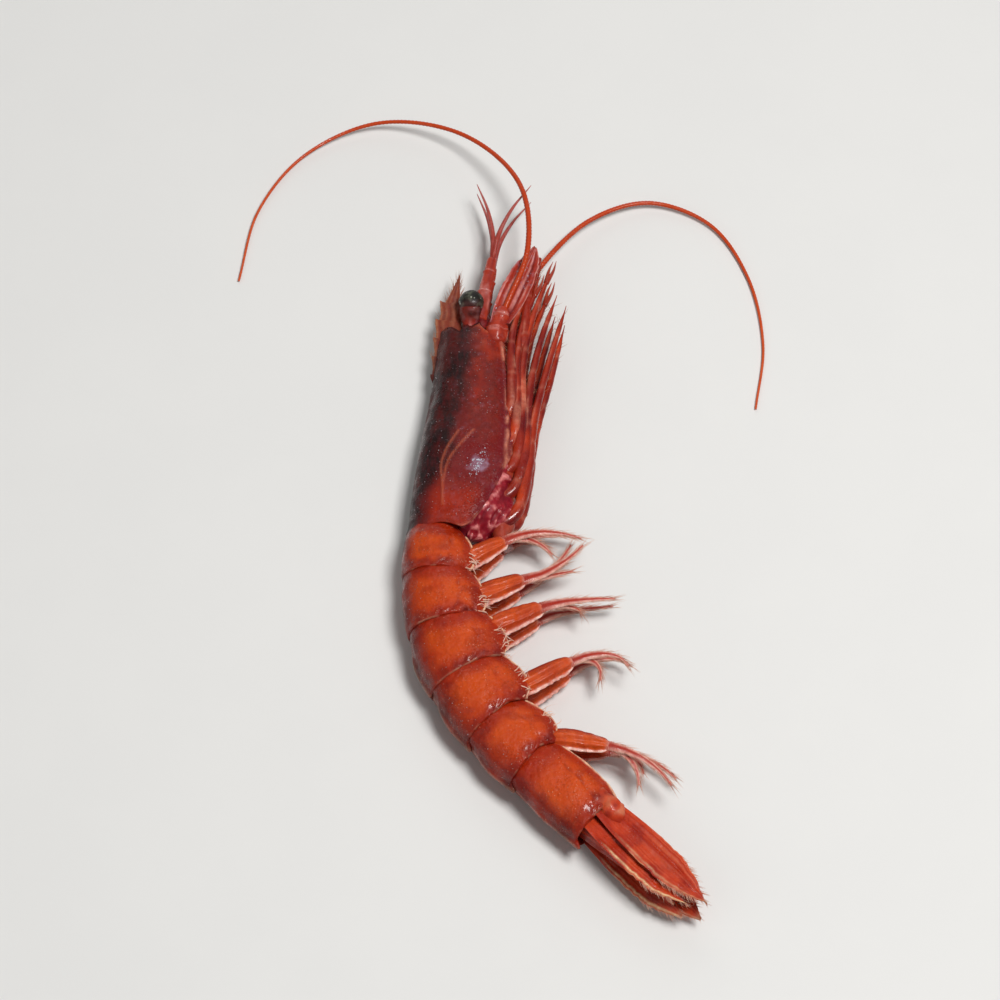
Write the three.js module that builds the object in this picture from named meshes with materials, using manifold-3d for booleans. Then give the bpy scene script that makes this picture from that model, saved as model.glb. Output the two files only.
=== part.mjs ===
// A raw red king prawn lying on its left flank, as one solid, in millimetres with +Z up.
// The head points along +Y, the legs along +X, and the right flank faces up.
//
// Most of it is set out in body coordinates: s runs along the back from the eye sockets to the
// tail, d is the depth below the back, and w is the distance to the right of the middle plane.

import * as THREE from 'three';
import { mergeVertices } from 'three/addons/utils/BufferGeometryUtils.js';
import Module from 'manifold-3d';

const wasm = await Module();
wasm.setup();

// ---- driving dimensions ---------------------------------------------------------------------

const DEGREE = Math.PI / 180;
const CARAPACE = { length: 52, depths: [12.6, 19.2, 22.4], halfWidths: [4.3, 7.0, 7.5] };
const REAR_CUT = 22; // how far the carapace's lower rear corner is cut away at its lower edge
const CUT_START = 0.5; // share of the depth at which that cut starts
const REAR_NOTCH = 1.8; // depth of the hollow in the flank of the carapace's rear edge
const CHEEK_REACH = 2.4; // how far the cheek stands back from the eye sockets
const CARAPACE_HEADINGS = [-6, -12, -4]; // slope of the back at the front, the middle and the rear
// Tail plates from the front: length along the back, turn of the back over that length in
// degrees, depth to the tip of the side lobe, and half the width.
const SOMITES = [
  { length: 9.6, turn: 4, depth: 13.8, halfWidth: 7.2 },
  { length: 13, turn: 12, depth: 15.8, halfWidth: 7.3 },
  { length: 14.4, turn: 16, depth: 17.8, halfWidth: 7.2 },
  { length: 13.4, turn: 11, depth: 17.4, halfWidth: 6.9 },
  { length: 12.8, turn: 8, depth: 15.4, halfWidth: 6.3 },
  { length: 18.3, turn: -1, depth: 12.8, halfWidth: 5.4 },
];
const OVERLAP = 3; // how far a plate is tucked under the one before it
const LIP = 0.45; // height of a plate's rear edge above the next plate
const LOBE_TIP = 144 * DEGREE; // where the side lobes end, turned from the back round the body
const LOBE_HANG = 3.6; // how far the side lobes hang below the belly
const FLANK_FLAT = 0.8; // how far the lower flank is pressed flat by its own weight
const MIDDLE_HEIGHT = CARAPACE.halfWidths[2] - FLANK_FLAT;
const ROSTRUM = { length: 14.5, height: 4.8, thickness: 1.4, droop: 12, teeth: 5, crest: 16 };
const EYE_RADIUS = 2.7;
const SCALE = { length: 19, breadth: 6.4, thickness: 0.9 };
const FOOT_RADIUS = 2.6; // of the stout foot of each feeler
const LEG_LENGTHS = [30, 38, 48, 50, 54];
const LEG_ROOTS = { first: 21.5, step: 6.2 }; // distance behind the eye sockets
const LEG_RADIUS = 1.25;
const PINCER = { pairs: 3, length: 4.4, spread: 0.31 }; // on the legs nearest the head
// Swimming legs: the share of its plate's length at which each is rooted, how far each stem leans
// towards the head, and how far its lashes turn in each quarter of their length, in degrees.
const PLEOPODS = {
  stem: 12, branch: 18, radius: 3,
  roots: [0.95, 0.72, 0.45, 0.78, 0.86],
  leans: [38, 28, 19, -12, -55],
  curls: [-14, 9, -20, -22, -12],
};
const FAR_LEAN = 7; // how much further the left stems lean, in degrees
const SPINE = { first: 3, length: 1.7 }; // small spines on the back, from the fourth tail plate on
const FAN = { telson: 25, exopod: 29.5, endopod: 26.5, thickness: 0.95 };
const ANTENNA_RADIUS = 0.42;

// ---- the back line and body coordinates -----------------------------------------------------

const TAIL_START = CARAPACE.length;
const BODY_LENGTH = SOMITES.reduce((sum, somite) => sum + somite.length, TAIL_START);
const BACK_STEP = 0.25;

function mixThree([front, middle, rear], t) {
  return t < 0.5
    ? THREE.MathUtils.lerp(front, middle, t * 2)
    : THREE.MathUtils.lerp(middle, rear, t * 2 - 1);
}

function smooth(from, to, value) {
  return THREE.MathUtils.smoothstep(value, from, to);
}

// Direction in which the back runs at s, measured from -Y towards +X.
function headingAt(s) {
  if (s <= TAIL_START) {
    return mixThree(CARAPACE_HEADINGS, Math.max(0, s / TAIL_START)) * DEGREE;
  }
  let heading = CARAPACE_HEADINGS[2];
  let start = TAIL_START;
  for (const somite of SOMITES) {
    heading += somite.turn * THREE.MathUtils.clamp((s - start) / somite.length, 0, 1);
    start += somite.length;
  }
  return heading * DEGREE;
}

const backPoints = [new THREE.Vector2(0, 0)];
for (let s = 0; s < BODY_LENGTH; s += BACK_STEP) {
  const heading = headingAt(s + BACK_STEP / 2);
  const step = new THREE.Vector2(Math.sin(heading), -Math.cos(heading)).multiplyScalar(BACK_STEP);
  backPoints.push(backPoints.at(-1).clone().add(step));
}

function at(s, d, w) {
  const index = THREE.MathUtils.clamp(Math.floor(s / BACK_STEP), 0, backPoints.length - 1);
  const heading = headingAt(s);
  const rest = s - index * BACK_STEP;
  const { x, y } = backPoints[index];
  return new THREE.Vector3(
    x + rest * Math.sin(heading) + d * Math.cos(heading),
    y - rest * Math.cos(heading) + d * Math.sin(heading),
    w + MIDDLE_HEIGHT,
  );
}

// ---- closed solids --------------------------------------------------------------------------

function signedVolume(geometry) {
  const { index, attributes } = geometry;
  const corners = [new THREE.Vector3(), new THREE.Vector3(), new THREE.Vector3()];
  let volume = 0;
  for (let i = 0; i < index.count; i += 3) {
    corners.forEach((corner, k) => corner.fromBufferAttribute(attributes.position, index.getX(i + k)));
    volume += corners[0].dot(corners[1].cross(corners[2])) / 6;
  }
  return volume;
}

function toSolid(source) {
  const plain = source.clone();
  plain.deleteAttribute('normal');
  plain.deleteAttribute('uv');
  const merged = mergeVertices(plain, 1e-4);
  const triangles = Uint32Array.from(merged.index.array);
  if (signedVolume(merged) < 0) {
    triangles.reverse();
  }
  const vertProperties = Float32Array.from(merged.attributes.position.array);
  return new wasm.Manifold(new wasm.Mesh({ numProp: 3, vertProperties, triVerts: triangles }));
}

// A closed skin round an axis. place(t, a, r) gives the point at share t of the length and
// angle a round the axis, and r is 1 on the skin and 0 at the middle of its two ends.
function loft(rings, columns, place) {
  const geometry = new THREE.CylinderGeometry(1, 1, 1, columns, rings);
  const position = geometry.attributes.position;
  for (let i = 0; i < position.count; i++) {
    const [x, y, z] = [position.getX(i), position.getY(i), position.getZ(i)];
    const point = place(0.5 - y, Math.atan2(x, z), Math.hypot(x, z));
    position.setXYZ(i, point.x, point.y, point.z);
  }
  return toSolid(geometry);
}

// A tapered limb through the given points. radius(t) is its half breadth in the plane of the
// middle of the body, and flat is its thickness as a share of that breadth.
function limb(points, radius, { flat = 0.8, sides = 6, rows = 8 } = {}) {
  const curve = new THREE.CatmullRomCurve3(points);
  const up = new THREE.Vector3(0, 0, 1);
  return loft(rows, sides, (t, a, r) => {
    const tangent = curve.getTangentAt(t);
    const across = new THREE.Vector3().crossVectors(up, tangent).normalize();
    const over = new THREE.Vector3().crossVectors(tangent, across);
    return curve
      .getPointAt(t)
      .addScaledVector(across, r * radius(t) * Math.cos(a))
      .addScaledVector(over, r * radius(t) * flat * Math.sin(a));
  });
}

// A leaf-like blade along the body. middle(t) gives s and d of its centre line, breadth(t) its
// half breadth, and w(t, across) the height of its middle layer over the middle plane.
function blade(rows, middle, breadth, thickness, w) {
  const sides = 10;
  return loft(rows, sides, (t, a, r) => {
    const [s, d] = middle(t);
    const across = r * Math.cos(a);
    const half = (thickness / 2) * r * Math.sin(a);
    return at(s, d + across * breadth(t), w(t, across) + half);
  });
}

// Depth and sideways distance of a plate's skin at angle a round the body.
function plateSection(a, depth, halfWidth, hang) {
  const turned = Math.abs(a);
  const lowness = Math.min(1, (1 - Math.cos(turned)) / (1 - Math.cos(LOBE_TIP)));
  const under = smooth(LOBE_TIP, Math.PI, turned);
  const side = Math.abs(Math.sin(turned)) ** 0.8;
  return { d: depth * lowness - hang * under, w: Math.sign(a) * halfWidth * side };
}

// ---- carapace and rostrum -------------------------------------------------------------------

function carapaceDepth(s) {
  return mixThree(CARAPACE.depths, THREE.MathUtils.clamp(s / CARAPACE.length, 0, 1));
}

// The lower rear corner is cut away on a curve, where the gills' soft skin shows.
function carapace() {
  const rounding = 0.14; // share of the length over which the front is rounded off
  return loft(14, 20, (t, a, r) => {
    const low = plateSection(a, 1, 1, 0).d;
    const cut = REAR_CUT * Math.max(0, (low - CUT_START) / (1 - CUT_START)) ** 1.6;
    const notch = REAR_NOTCH * Math.exp(-(((low - 0.33) / 0.2) ** 2)) * smooth(0.6, 1, t);
    const cheek = CHEEK_REACH * smooth(0.5, 1, low) * (1 - smooth(0, 0.3, t));
    const s = t * (CARAPACE.length - cut * r) + (cheek - notch) * r;
    const share = THREE.MathUtils.clamp(s / CARAPACE.length, 0, 1);
    const depth = carapaceDepth(s);
    const halfWidth = mixThree(CARAPACE.halfWidths, share);
    const nose = share < rounding ? Math.sqrt(1 - (1 - share / rounding) ** 2) * 0.18 + 0.82 : 1;
    const tuck = 1 - 0.05 * smooth(0.9, 1, t);
    const section = plateSection(a, depth, halfWidth * nose * tuck, 1.6);
    return at(s, THREE.MathUtils.lerp(depth * 0.5, section.d, r), section.w * r);
  });
}

// The soft skin between the carapace's cut corner and the roots of the legs.
function gillFlap() {
  const [start, end] = [23, 51];
  return loft(6, 10, (t, a, r) => {
    const s = THREE.MathUtils.lerp(start, end, t);
    const closing = Math.sqrt(1 - 0.9 * smooth(0.7, 1, t) ** 2);
    const halfWidth = (mixThree(CARAPACE.halfWidths, s / CARAPACE.length) - 0.9) * closing;
    const side = Math.sign(Math.sin(a)) * Math.abs(Math.sin(a)) ** 0.7;
    const d = carapaceDepth(s) * (0.6 - 0.42 * closing * Math.cos(a) * r);
    return at(s, d, halfWidth * side * r);
  });
}

// The crest and the rostrum, one thin toothed blade that droops ahead of the eyes.
function rostrum() {
  const { length, height, thickness, droop, teeth, crest } = ROSTRUM;
  const outline = new THREE.Shape();
  outline.moveTo(-crest, -1.5);
  outline.lineTo(-crest, 0.2);
  const toothStep = (crest + length * 0.45) / teeth;
  for (let i = 0; i < teeth; i++) {
    const foot = -crest + toothStep * i;
    const lift = 0.7 + 0.25 * i;
    outline.lineTo(foot + toothStep * 0.55, lift);
    outline.lineTo(foot + toothStep * 0.9, lift + 0.5 + 0.12 * i);
    outline.lineTo(foot + toothStep, lift + 0.2);
  }
  outline.lineTo(length, 0);
  outline.quadraticCurveTo(length * 0.45, -height * 0.55, 0, -height * 0.8);
  outline.lineTo(-crest * 0.3, -height * 0.9);
  const geometry = new THREE.ExtrudeGeometry(outline, {
    depth: thickness, steps: 2, bevelEnabled: false, curveSegments: 5,
  });
  const position = geometry.attributes.position;
  for (let i = 0; i < position.count; i++) {
    const ahead = position.getX(i);
    const share = THREE.MathUtils.clamp(ahead / length, 0, 1);
    const sag = ahead > 0 ? ahead * Math.tan(droop * DEGREE) * (1 - 0.35 * share) : 0;
    const w = (position.getZ(i) - thickness / 2) * (1 - 0.65 * share);
    const point = at(-ahead, sag - position.getY(i), w);
    position.setXYZ(i, point.x, point.y, point.z);
  }
  return toSolid(geometry);
}

// ---- tail plates ----------------------------------------------------------------------------

// One tail plate, a hoop over the back. Its front is tucked under the plate before it.
function somite(index) {
  const { length, depth, halfWidth } = SOMITES[index];
  const before = SOMITES.slice(0, index).reduce((sum, other) => sum + other.length, 0);
  const start = TAIL_START + before - OVERLAP;
  const span = length + OVERLAP;
  const last = index === SOMITES.length - 1;
  const lobe = last ? 1.2 : 3.4;
  const next = SOMITES[index + 1] ?? { depth: depth * 0.84, halfWidth: halfWidth * 0.8 };
  return loft(6, 20, (t, a, r) => {
    const low = (1 - Math.cos(a)) / 2;
    const tip = Math.sin(Math.PI * Math.min(t / 0.72, 1) / 2) - 0.55 * smooth(0.75, 1, t) ** 2;
    const here = THREE.MathUtils.lerp(depth, Math.min(depth, next.depth), 0.6 * t * t);
    const tuck = index === 0 ? 0.16 * (1 - smooth(0.1, 0.5, t)) : 0;
    const wide = THREE.MathUtils.lerp(halfWidth, next.halfWidth, 0.5 * t * t) * (1 - tuck);
    const lift = LIP * (smooth(0.1, 0.9, t) * 1.2 - 0.9 * (1 - smooth(0, 0.25, t)));
    const swell = lift + 0.35 * Math.sin(Math.PI * t);
    const section = plateSection(a, here - lobe * (1 - tip), wide, LOBE_HANG);
    const d = section.d - swell * Math.cos(a);
    const w = section.w + swell * Math.sin(a);
    const rake = 1.5 * smooth(0.6, 1, low) * smooth(0.5, 1, t);
    const spine = index >= SPINE.first && Math.abs(a) < 0.01 ? SPINE.length * smooth(0.8, 1, t) : 0;
    const s = start + t * span + (rake + spine) * r;
    return at(s, THREE.MathUtils.lerp(here * 0.45, d, r), w * r);
  });
}

// ---- tail fan -------------------------------------------------------------------------------

function telson() {
  const { depth } = SOMITES.at(-1);
  return loft(6, 8, (t, a, r) => {
    const taper = 1 - 0.82 * t ** 1.2;
    const w = 3.1 * taper * Math.sin(a);
    const d = depth * 0.12 + 2 * t + 1.5 * taper * (1 - Math.cos(a));
    return at(BODY_LENGTH - 1.5 + FAN.telson * t, THREE.MathUtils.lerp(depth * 0.25, d, r), w * r);
  });
}

function fanBlade(length, root, spread, halfBreadth, w) {
  const breadth = (t) => {
    const rounded = Math.max(0.12, 1 - Math.max(0, (t - 0.6) / 0.4) ** 2.2);
    return halfBreadth * (0.72 + 0.28 * Math.sin(Math.PI * t)) * rounded;
  };
  const middle = (t) => [BODY_LENGTH - 0.5 + length * t, root + spread * t];
  return blade(6, middle, breadth, FAN.thickness, w);
}

function tailFan(side) {
  const outer = fanBlade(FAN.exopod, 8.4, -1.6 + 0.8 * side, 3.9, (t, across) => {
    return side * (4.0 - 1.6 * t - 0.9 * across);
  });
  const inner = fanBlade(FAN.endopod, 4.8, -0.6 + 0.6 * side, 3.5, (t, across) => {
    return side * (3.0 - 1.2 * t - 0.9 * across);
  });
  const root = [
    at(BODY_LENGTH - 4, 8.6, side * 2.6),
    at(BODY_LENGTH - 0.5, 9.2, side * 3.6),
    at(BODY_LENGTH + 5, 8.4, side * 3.5),
  ];
  const knob = (t) => 2.6 - 1.9 * smooth(0.5, 1, t);
  return [outer, inner, limb(root, knob, { flat: 0.85, sides: 8, rows: 4 })];
}

// ---- head -----------------------------------------------------------------------------------

function headBlock() {
  return loft(6, 10, (t, a, r) => {
    const size = Math.sqrt(1 - 0.82 * (1 - t) ** 2);
    const d = 7.6 - 4.6 * size * Math.cos(a) * r;
    return at(-4.5 + 13 * t, d, 3.6 * size * Math.sin(a) * r);
  });
}

function eye(side) {
  const ball = new THREE.SphereGeometry(EYE_RADIUS, 8, 6);
  const centre = at(-5.2, 5.3, side * 3.9);
  ball.scale(1, 1, 0.86);
  ball.translate(centre.x, centre.y, centre.z);
  const stalk = [at(2, 5.6, side * 1.6), at(-2, 5.4, side * 2.6), at(-5, 5.3, side * 3.8)];
  return [toSolid(ball), limb(stalk, (t) => 1.3 + 0.7 * t, { flat: 1, rows: 3 })];
}

function antennule(side) {
  const peduncle = [
    at(-2, 7.2, side * 1.9),
    at(-9, 7.8, side * 2.2),
    at(-18, 8.6, side * 2.0),
  ];
  const whips = [6, -5].map((lean, k) => {
    const points = [0, 1, 2, 3].map((i) => {
      return at(-17.5 - 6.2 * i, 8.6 + lean * 0.12 * i * i, side * (2 + 0.5 * i * (1 - k)));
    });
    return limb(points, (t) => 0.7 - 0.4 * t, { sides: 4, rows: 4 });
  });
  return [limb(peduncle, (t) => 1.8 - 0.8 * t, { rows: 4 }), ...whips];
}

// The stout foot of the antenna and its scale, a long blade folded along the side of the head.
function antennaFoot(side) {
  const foot = [at(4, 11.2, side * 2), at(-0.5, 11.6, side * 3.2), at(-5, 12.4, side * 3.7)];
  const middle = (t) => [-0.5 - (SCALE.length + 1) * t, 12 + 5.6 * t];
  const breadth = (t) => {
    const leaf = Math.sqrt(Math.sin(Math.PI * (0.14 + 0.8 * t)));
    return (SCALE.breadth / 2) * leaf * Math.sqrt(1 - 0.9 * t ** 8);
  };
  const stout = (t) => FOOT_RADIUS * Math.cos(1.1 * t) * (0.5 + 0.5 * smooth(0, 0.25, t));
  const w = (t, across) => side * (3.3 - 0.3 * t + 0.9 * across * across);
  return [
    limb(foot, stout, { sides: 8, rows: 4 }),
    blade(6, middle, breadth, SCALE.thickness, w),
  ];
}

// The long whips sweep ahead of the head and come down to the surface on which the body lies.
function antennaWhips() {
  const rightRoot = at(-4.2, 12.6, 3.7);
  const leftRoot = at(-4.2, 12.6, -3.7);
  const route = (root, steps) => {
    const points = steps.map(([x, y, z]) => new THREE.Vector3(root.x + x, root.y + y, z));
    return [root, ...points];
  };
  const right = route(rightRoot, [
    [5, 14, 12.5], [3, 32, 11], [-10, 47, 7], [-28, 52, 3.2], [-44, 45, 1.2], [-54, 31, 0.7],
    [-58, 13, 0.5],
  ]);
  const left = route(leftRoot, [
    [7, 13, 4.5], [19, 27, 3.2], [32, 32, 2], [45, 27, 1.1], [53, 14, 0.7], [56, -3, 0.5],
    [54, -19, 0.5],
  ]);
  const radius = (t) => ANTENNA_RADIUS * (1.5 - t) + 0.08;
  return [right, left].map((points) => limb(points, radius, { flat: 1, sides: 4, rows: 24 }));
}

// ---- legs -----------------------------------------------------------------------------------

// The ridge of leg roots under the carapace.
function legRoots() {
  return loft(6, 8, (t, a, r) => {
    const s = 6 + (CARAPACE.length - 6) * t;
    const size = 0.6 + 0.4 * Math.sin(Math.PI * t);
    const d = carapaceDepth(s) - 2.2 - 3.2 * size * Math.cos(a) * r;
    return at(s, d, 4.6 * size * Math.sin(a) * r);
  });
}

// Walking legs, folded forward in a bundle along the lower edge of the carapace.
function leg(index, side) {
  const rootS = LEG_ROOTS.first + LEG_ROOTS.step * index;
  const length = LEG_LENGTHS[index] - (side < 0 ? 3 : 0);
  const out = 0.4 + 0.75 * index;
  const w = side * (3.9 - 0.4 * index);
  const below = (s, extra, wShare) => at(s, carapaceDepth(s) + extra, w * wShare);
  const points = [
    below(rootS + 1.5, -3.5, 0.8),
    below(rootS - 2.5, out * 0.5 - 0.6, 1.05),
    below(rootS - length * 0.25, out, 1.2),
    below(rootS - length * 0.5, out * 1.3 + 0.5, 1.1),
    below(rootS - length * 0.75, out * 2.3 + 1.6, 0.9),
    below(rootS - length, out * 3 + 2.8, 0.7),
  ];
  const radius = (t) => LEG_RADIUS * (1.15 - 0.8 * t);
  const shaft = limb(points, radius, { flat: 0.9, sides: 5, rows: 6 });
  return index < PINCER.pairs ? [shaft, ...pincer(points.at(-2), points.at(-1))] : [shaft];
}

// The two short fingers at the tip of a leg.
function pincer(before, tip) {
  const ahead = tip.clone().sub(before).normalize();
  const sideways = new THREE.Vector3(0, 0, 1).cross(ahead);
  return [1, -1].map((turn) => {
    const lean = turn * PINCER.spread;
    const step = (along, across) => {
      return tip.clone().addScaledVector(ahead, along).addScaledVector(sideways, across);
    };
    const line = [step(-1.6, 0), step(0.4 * PINCER.length, 1.5 * lean), step(PINCER.length, lean)];
    return limb(line, (t) => 0.55 - 0.4 * t, { flat: 0.9, sides: 3, rows: 2 });
  });
}

function mouthLeg(side) {
  const points = [
    at(9, 13, side * 2.6),
    at(3, 17, side * 3),
    at(-8, 17.2, side * 2.6),
    at(-19, 18.6, side * 1.6),
  ];
  return limb(points, (t) => 1.5 - 0.9 * t, { rows: 5 });
}

// ---- swimming legs --------------------------------------------------------------------------

function pleopod(index, side) {
  const before = SOMITES.slice(0, index).reduce((sum, other) => sum + other.length, 0);
  const { length, depth, halfWidth } = SOMITES[index];
  const rootS = TAIL_START + before + length * PLEOPODS.roots[index];
  const size = 1 - 0.06 * Math.abs(index - 1.5);
  const lean = (PLEOPODS.leans[index] + (side < 0 ? FAR_LEAN : 0)) * DEGREE;
  const w = side * halfWidth * 0.5;
  const walk = (from, angle, distance, rise) => {
    const s = from.s - Math.sin(angle) * distance;
    return { s, d: from.d + Math.cos(angle) * distance, w: from.w + rise };
  };
  const place = ({ s, d, w: across }) => at(s, d, across);
  const hip = { s: rootS, d: depth - 4, w };
  const knee = walk(hip, lean, 4.5, side * 0.4);
  const foot = walk(knee, lean, PLEOPODS.stem * size - 1, -side * 0.3);
  const stem = limb([hip, knee, foot].map(place), (t) => {
    const blunt = 0.1 * t - 0.3 * smooth(0.82, 1, t) ** 2;
    return PLEOPODS.radius * size * (0.6 + 0.34 * Math.sin(Math.PI * t) + blunt);
  }, { flat: 0.62, sides: 6, rows: 4 });
  const branches = [1, 0.66].map((share, k) => {
    const path = [foot];
    const curl = (PLEOPODS.curls[index] - 9 * k) * DEGREE;
    for (let i = 1; i <= 4; i++) {
      const stepLength = (PLEOPODS.branch * size * share) / 4;
      path.push(walk(path.at(-1), lean + curl * (i - 0.5), stepLength, -side * (0.35 + 0.5 * k)));
    }
    const taper = (t) => 1.25 * size * (1 - 0.78 * t);
    return limb(path.map(place), taper, { flat: 0.5, sides: 4, rows: 5 - k });
  });
  return [stem, ...branches];
}

// ---- the whole prawn ------------------------------------------------------------------------

function floorBlock() {
  const size = 600;
  const block = new THREE.BoxGeometry(size, size, size);
  block.translate(0, 0, -size / 2);
  return toSolid(block);
}

function prawnSolid() {
  const sides = [1, -1];
  const pieces = [
    carapace(),
    gillFlap(),
    rostrum(),
    ...SOMITES.map((_, index) => somite(index)),
    telson(),
    headBlock(),
    legRoots(),
    ...antennaWhips(),
    ...sides.flatMap((side) => [
      ...tailFan(side),
      ...eye(side),
      ...antennule(side),
      ...antennaFoot(side),
      mouthLeg(side),
      ...LEG_LENGTHS.flatMap((_, index) => leg(index, side)),
      ...PLEOPODS.leans.flatMap((_, index) => pleopod(index, side)),
    ]),
  ];
  return pieces.reduce((whole, piece) => whole.add(piece)).subtract(floorBlock());
}

function toGeometry(solid) {
  const { vertProperties, triVerts } = solid.getMesh();
  const geometry = new THREE.BufferGeometry();
  geometry.setAttribute('position', new THREE.BufferAttribute(vertProperties, 3));
  geometry.setIndex(new THREE.BufferAttribute(triVerts, 1));
  geometry.computeVertexNormals();
  return geometry;
}

const geometry = toGeometry(prawnSolid());
geometry.computeBoundingBox();
const centre = geometry.boundingBox.getCenter(new THREE.Vector3());
const shell = new THREE.MeshStandardMaterial({ color: 0xb4451f, roughness: 0.42, metalness: 0 });
const prawn = new THREE.Mesh(geometry, shell);
prawn.name = 'prawn';
prawn.position.set(-centre.x, -centre.y, 0);

const model = new THREE.Group();
model.add(prawn);

export default model;
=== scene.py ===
import itertools
import math
from collections import namedtuple

import bmesh
import bpy
import numpy as np
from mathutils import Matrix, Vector


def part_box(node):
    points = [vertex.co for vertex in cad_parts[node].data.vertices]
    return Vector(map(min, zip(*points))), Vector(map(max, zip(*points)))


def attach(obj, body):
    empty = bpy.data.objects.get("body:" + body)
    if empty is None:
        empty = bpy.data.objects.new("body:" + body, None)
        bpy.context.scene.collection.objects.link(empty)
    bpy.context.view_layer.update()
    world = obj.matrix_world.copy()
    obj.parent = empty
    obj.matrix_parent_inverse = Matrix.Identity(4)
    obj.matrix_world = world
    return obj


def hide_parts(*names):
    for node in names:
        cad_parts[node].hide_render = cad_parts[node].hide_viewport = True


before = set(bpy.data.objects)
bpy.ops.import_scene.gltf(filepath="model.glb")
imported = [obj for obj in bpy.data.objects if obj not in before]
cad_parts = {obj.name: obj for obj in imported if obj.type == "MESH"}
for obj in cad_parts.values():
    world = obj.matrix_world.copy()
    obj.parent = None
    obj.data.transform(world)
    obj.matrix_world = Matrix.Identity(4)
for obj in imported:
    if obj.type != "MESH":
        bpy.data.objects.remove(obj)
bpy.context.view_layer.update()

LOW_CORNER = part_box("prawn")[0]

# A raw red king prawn that lies on its left flank, with its head along +Y and its legs along +X.
# Sizes are in millimetres until a mesh is made. Most of the prawn is set out in body coordinates:
# s runs along the back from the eye sockets to the tail, d is the depth below the back, and w is
# the distance to the right of the middle plane, which is level.

MM = 0.001
Plate = namedtuple("Plate", "length turn depth half_width")
# Along a fan blade, the depth changes from root by drift, plus lean on the right or less lean on
# the left. Its distance from the middle plane is rise at its root and less by fall at its tip.
# pale is the strength of its cream rib.
Blade = namedtuple("Blade", "length root drift lean half_breadth rise fall pale")

CARAPACE_LENGTH = 52
CARAPACE_DEPTHS = (12.6, 19.2, 22.4)  # at the front, the middle and the rear
CARAPACE_HALF_WIDTHS = (4.3, 7.0, 7.5)
CARAPACE_HEADINGS = (-6, -12, -4)  # slope of the back, from -Y towards +X, in degrees
PLATES = (
    Plate(9.6, 4, 13.8, 7.2),
    Plate(13, 12, 15.8, 7.3),
    Plate(14.4, 16, 17.8, 7.2),
    Plate(13.4, 11, 17.4, 6.9),
    Plate(12.8, 8, 15.4, 6.3),
    Plate(18.3, -1, 12.8, 5.4),
)
OVERLAP = 3  # how far a plate is tucked under the one before it
LIP = 0.45  # height of a plate's rear edge above the next plate
LOBE_TIP = math.radians(144)  # where the side lobes end, turned from the back round the body
LOBE_HANG = 3.6
SCALLOP = 3.4  # how much less deep a side lobe is at the ends of its scalloped lower edge
LAST_SCALLOP = 1.2  # the same on the last plate
MIDDLE_HEIGHT = 6.7
LOWEST_SKIN = 0.03  # every skin is pressed flat at this height above the surface it lies on
SOCKET_FROM_CORNER = (45.31, 136.56)  # the eye sockets' line on the back, from the CAD box's corner

ROSTRUM_LENGTH = 14.5
ROSTRUM_HEIGHT = 4.8
ROSTRUM_THICKNESS = 1.4
ROSTRUM_DROOP = math.radians(12)
ROSTRUM_TEETH = 5
CREST_LENGTH = 16
HEAD_START, HEAD_LENGTH = -4.5, 13  # of the flesh inside the carapace's front edge
EYE_RADIUS = 2.7
SCALE_LENGTH = 19
SCALE_BREADTH = 6.4
SCALE_THICKNESS = 0.9
FOOT_RADIUS = 2.6  # of the stout foot of each feeler
LEG_LENGTHS = (30, 38, 48, 50, 54)
LEG_RADIUS = 1.25
FIRST_LEG_ROOT = 21.5  # distance behind the eye sockets
LEG_ROOT_STEP = 6.2
LEG_RIDGE_START = 6  # distance behind the eye sockets
STEM_ROOTS = (0.95, 0.72, 0.45, 0.78, 0.86)  # shares of the plates' lengths
STEM_LENGTH = 12
LASH_LENGTH = 18
STEM_RADIUS = 3
STEM_LEANS = (38, 28, 19, -12, -55)  # degrees towards the head
FAR_LEAN = 7  # how much further the left stems lean
LASH_CURLS = (-14, 9, -20, -22, -12)  # degrees that a lash turns in each quarter of its length
TELSON_LENGTH = 25
BLADES = {
    "outer": Blade(29.5, 8.4, -1.6, 0.8, 3.9, 4.0, 1.6, 0.35),
    "inner": Blade(26.5, 4.8, -0.6, 0.6, 3.5, 3.0, 1.2, 0.95),
}
BLADE_THICKNESS = 0.95
BLADE_START = 0.5  # how far ahead of the body's end the blades begin
BLADE_SLANT = 0.9  # how much nearer to the middle plane a blade's deeper edge is than its middle
FEELER_RADIUS = 0.42
RING_HEIGHT = 0.07  # of a feeler's or lash's rings, as a share of its radius
HAIR_COUNTS = {"rostrum": 150, "fan_blade": 90, "limb": 46, "lobe": 20}  # on one of each

# The darkest mask is dark pigment in most places, and painted shade in the hollows under the shells'
# edges and in the gill flap's folds.
MASKS = ("glow", "wine", "stain", "groove", "rim", "ice")
SIDES = {"right": 1, "left": -1}
random = np.random.default_rng(7)


# ---- helpers for shape ----------------------------------------------------------------------


def smooth(low, high, value):
    share = np.clip((np.asarray(value, float) - low) / (high - low), 0, 1)
    return share * share * (3 - 2 * share)


def mix(low, high, share):
    return low + (high - low) * share


def hump(value, middle, width):
    return np.exp(-(((value - middle) / width) ** 2))


def over_length(values, t):
    return np.interp(t, (0, 0.5, 1), values)


HASH_FACTORS = (73856093, 19349663, 83492791)
HASH_STIR = 1274126177
SEED_STEP = 31.7


def noise(points, size, seed=0):
    """Smooth noise from -1 to 1 at the points, with features of about the given size."""
    place = np.asarray(points) / size + SEED_STEP * (seed + 1)
    cell = np.floor(place).astype(np.int64)
    share = place - cell
    share = share * share * (3 - 2 * share)
    total = np.zeros(place.shape[:-1])
    for corner in itertools.product((0, 1), repeat=3):
        mixed = np.bitwise_xor.reduce((cell + corner) * HASH_FACTORS, axis=-1)
        mixed = (mixed ^ (mixed >> 13)) * HASH_STIR & 0xFFFFFFFF
        value = ((mixed ^ (mixed >> 16)) & 0xFFFF) / 32767.5 - 1
        total += value * np.prod(np.where(corner, share, 1 - share), axis=-1)
    return total


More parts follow.
